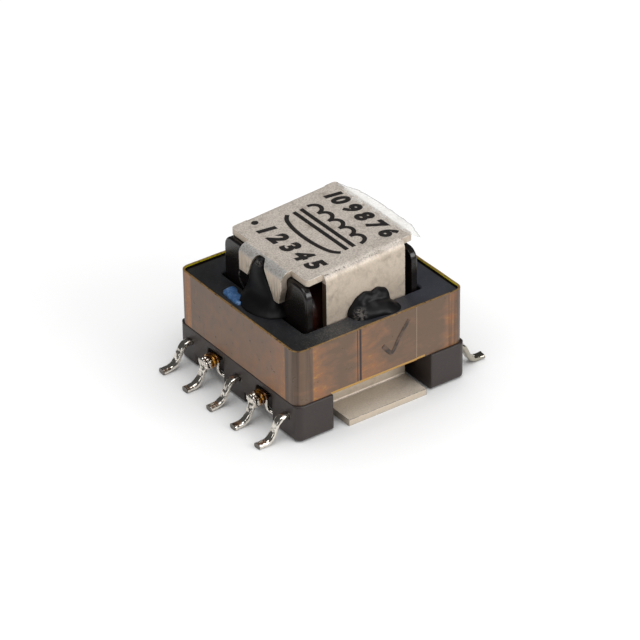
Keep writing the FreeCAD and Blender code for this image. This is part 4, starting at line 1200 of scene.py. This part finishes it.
builder = bmesh.new()
rim = builder.verts.layers.float.new("rim")
rows = []
for i in range(FILM_ROWS + 1):
    inner = along_edge(FILM_INNER, i / FILM_ROWS)
    outer = along_edge(FILM_OUTER, i / FILM_ROWS)
    ragged = Vector((noise.noise(Vector((i * FILM_TEARS, 0, 0))), 0)) * FILM_RAGGED
    row = []
    for j in range(FILM_STEPS + 1):
        share = j / FILM_STEPS
        spot = inner.lerp(outer, share) + ragged * share
        lifted = max(0, spot.x - PLATE_EDGE) * FILM_CURL * noise.noise(Vector((spot.y * FILM_WAVES, 3, 0)))
        height = plate_height(spot.x) + FILM_GAP - abs(lifted)
        corner = builder.verts.new(Vector((spot.x, spot.y, height)) * MM)
        to_rim = (1 - share) * (outer - inner).length
        corner[rim] = max(0, 1 - to_rim / FILM_HEM)
        row.append(corner)
    rows.append(row)
for near, far in zip(rows, rows[1:]):
    for j in range(FILM_STEPS):
        builder.faces.new((near[j], far[j], far[j + 1], near[j + 1]))
mesh = take_mesh(builder, "clear_scrap")
mesh.shade_smooth()
piece = add_piece("clear_scrap", mesh, material, ["clear_film"])
wall = piece.modifiers.new("thickness", "SOLIDIFY")
wall.thickness = FILM_THICKNESS
wall.offset = 1

# Glue: black epoxy, run by hand into the corner before the strip's leg and into the slot between the claws,
# and a dab of blue locking compound beside it. Each is a lump of melted balls pressed against its neighbours.
GLUE_VOXEL = 0.05
CORE_TOP = 6.46
STRIP_FACE = -4.5
FLANGE_FACE = -4.35
EPOXY_BLACK = "#070708"
EPOXY_GREY = "#100f12"
EPOXY_DRY = "#6f6a66"
EPOXY_FOAM = (((-0.7, -5.2, 6.7), 0.6), ((-4.75, 0.1, 9.45), 0.4), ((-4.64, 2.5, 7.5), 0.8))
EPOXY_THREAD = (
    (-4.6, 2.15, 8.2), (-4.62, 2.38, 7.75), (-4.64, 2.46, 7.4), (-4.66, 2.3, 7.05), (-4.72, 1.85, 6.75),
    (-4.8, 1.3, 6.6),
)
EPOXY_THREAD_RADIUS = 0.05 * MM
LOCKING_BLUE = "#31547f"
LOCKING_PALE = "#5f82ad"


def press(mesh, low=None, high=None):
    """Hold every point of a lump inside the planes of its neighbours, in millimetres."""
    for vertex in mesh.vertices:
        for axis in range(3):
            if low and low[axis] is not None:
                vertex.co[axis] = max(vertex.co[axis], low[axis])
            if high and high[axis] is not None:
                vertex.co[axis] = min(vertex.co[axis], high[axis])


# Filled epoxy, cured in air: black and smooth with a soft gloss and slow sags. In three patches it has foamed
# and dried grey, with grains 0.1 mm across.
material, tree = start_material("black epoxy, cured")
place = place_in_mm(tree)
sag = add_node(tree, "ShaderNodeTexNoise", {"Vector": place, "Scale": 1.2, "Detail": 2.0})
grain = add_node(tree, "ShaderNodeTexNoise", {
    "Vector": place, "Scale": 7.0, "Detail": 4.0, "Roughness": 0.6,
})
tone = add_node(tree, "ShaderNodeMix", {
    "Factor": sag, "A": colour(EPOXY_BLACK), "B": colour(EPOXY_GREY),
}, data_type="RGBA")
foam = 0.0
for spot, reach in EPOXY_FOAM:
    away = add_node(tree, "ShaderNodeVectorMath", {0: place, 1: spot}, operation="DISTANCE")
    inside = add_node(tree, "ShaderNodeMapRange", {
        "Value": away, "From Min": reach, "From Max": reach * 0.4,
    }, interpolation_type="SMOOTHSTEP")
    foam = add_node(tree, "ShaderNodeMath", {0: foam, 1: inside}, operation="MAXIMUM")
grains = add_node(tree, "ShaderNodeMapRange", {"Value": grain, "From Min": 0.45, "From Max": 0.62})
foamed = add_node(tree, "ShaderNodeMath", {0: foam, 1: grains}, operation="MULTIPLY")
dried = add_node(tree, "ShaderNodeMix", {
    "Factor": foamed, "A": tone, "B": colour(EPOXY_DRY),
}, data_type="RGBA")
dull = add_node(tree, "ShaderNodeMapRange", {"Value": sag, "To Min": 0.3, "To Max": 0.56})
relief = add_node(tree, "ShaderNodeBump", {"Height": foamed, "Strength": 0.8, "Distance": 0.06 * MM})
epoxy = add_node(tree, "ShaderNodeBsdfPrincipled", {
    "Base Color": dried, "Roughness": dull, "Specular IOR Level": 0.22, "Normal": relief,
})
add_node(tree, "ShaderNodeOutputMaterial", {"Surface": epoxy})


def chain(keys, steps):
    """Balls (centre, radii) set close together along the way from each key ball to the next."""
    balls = []
    for (start, start_radii), (end, end_radii) in zip(keys, keys[1:]):
        for i in range(steps + 1):
            share = i / steps
            centre = Vector(start).lerp(Vector(end), share)
            balls.append((centre, Vector(start_radii).lerp(Vector(end_radii), share)))
    return balls


front_balls = chain([
    ((-0.62, -4.55, 6.55), (0.6, 0.7, 0.75)),
    ((-0.3, -4.55, 6.8), (0.62, 0.6, 0.84)),
    ((0.05, -4.55, 7.22), (0.4, 0.36, 0.62)),
    ((0.6, -4.55, 7.0), (0.62, 0.5, 0.62)),
    ((1.1, -4.55, 7.05), (0.56, 0.5, 0.74)),
    ((1.5, -4.55, 6.95), (0.5, 0.5, 0.66)),
], steps=5) + chain([
    ((-0.2, -4.85, 6.45), (1.0, 0.85, 0.75)),
    ((0.6, -4.9, 6.45), (1.15, 0.9, 0.75)),
    ((0.95, -4.95, 6.5), (1.05, 0.95, 0.66)),
    ((1.25, -5.1, 6.42), (1.0, 0.9, 0.42)),
    ((1.5, -5.3, 6.4), (0.85, 0.75, 0.22)),
], steps=6)
mesh = blend_balls("front_epoxy", front_balls, GLUE_VOXEL, rounds=38, roughness=0.05, grain=0.6, seed=3)
press(mesh, low=(None, None, CORE_TOP), high=(None, STRIP_FACE, None))
mesh.transform(Matrix.Scale(MM, 4))
add_piece("front_epoxy", mesh, material, ["front_glue"])

claw_balls = chain([
    ((-4.45, 0.1, 9.5), (0.36, 0.34, 0.28)),
    ((-4.45, 0.32, 9.15), (0.38, 0.5, 0.35)),
    ((-4.45, 0.5, 8.7), (0.4, 0.72, 0.4)),
    ((-4.45, 0.35, 8.2), (0.4, 1.05, 0.4)),
    ((-4.45, 0.12, 7.7), (0.45, 1.4, 0.42)),
    ((-4.45, -0.05, 7.2), (0.55, 1.72, 0.44)),
    ((-4.45, -0.1, 6.9), (0.78, 1.9, 0.4)),
    ((-4.45, -0.15, 6.68), (1.12, 2.05, 0.32)),
    ((-4.45, -0.2, 6.48), (1.58, 2.2, 0.24)),
], steps=8)
mesh = blend_balls("claw_epoxy", claw_balls, GLUE_VOXEL, rounds=40, roughness=0.04, grain=0.9, seed=5)
press(mesh, low=(None, None, CORE_TOP), high=(FLANGE_FACE, None, None))
mesh.transform(Matrix.Scale(MM, 4))
add_piece("claw_epoxy", mesh, material, ["claw_glue"])
mesh = sweep_wire("epoxy_thread", EPOXY_THREAD, EPOXY_THREAD_RADIUS)
add_piece("epoxy_thread", mesh, material)

# Anaerobic locking compound: a soft blue skin, paler on its wrinkles, with a waxy gloss.
material, tree = start_material("blue locking compound, cured")
place = place_in_mm(tree)
skin = add_node(tree, "ShaderNodeTexNoise", {"Vector": place, "Scale": 3.2, "Detail": 5.0, "Roughness": 0.6})
pale = add_node(tree, "ShaderNodeMapRange", {"Value": skin, "From Min": 0.45, "From Max": 0.75})
tone = add_node(tree, "ShaderNodeMix", {
    "Factor": pale, "A": colour(LOCKING_BLUE), "B": colour(LOCKING_PALE),
}, data_type="RGBA")
relief = add_node(tree, "ShaderNodeBump", {"Height": skin, "Strength": 0.6, "Distance": 0.06 * MM})
compound = add_node(tree, "ShaderNodeBsdfPrincipled", {
    "Base Color": tone, "Roughness": 0.32, "Normal": relief,
})
add_node(tree, "ShaderNodeOutputMaterial", {"Surface": compound})

blue_balls = [
    ((-5.52, 2.2, 6.46), (0.48, 0.5, 0.28)),
    ((-5.6, 1.55, 6.46), (0.46, 0.6, 0.26)),
    ((-5.3, 2.35, 6.48), (0.35, 0.35, 0.2)),
    ((-5.75, 1.25, 6.46), (0.3, 0.35, 0.2)),
    ((-5.86, 0.9, 6.46), (0.24, 0.36, 0.17)),
]
mesh = blend_balls("blue_dab", blue_balls, GLUE_VOXEL, rounds=4, roughness=0.06, grain=0.3, seed=8)
press(mesh, low=(None, None, CORE_TOP))
mesh.transform(Matrix.Scale(MM, 4))
add_piece("blue_dab", mesh, material, ["blue_glue"])
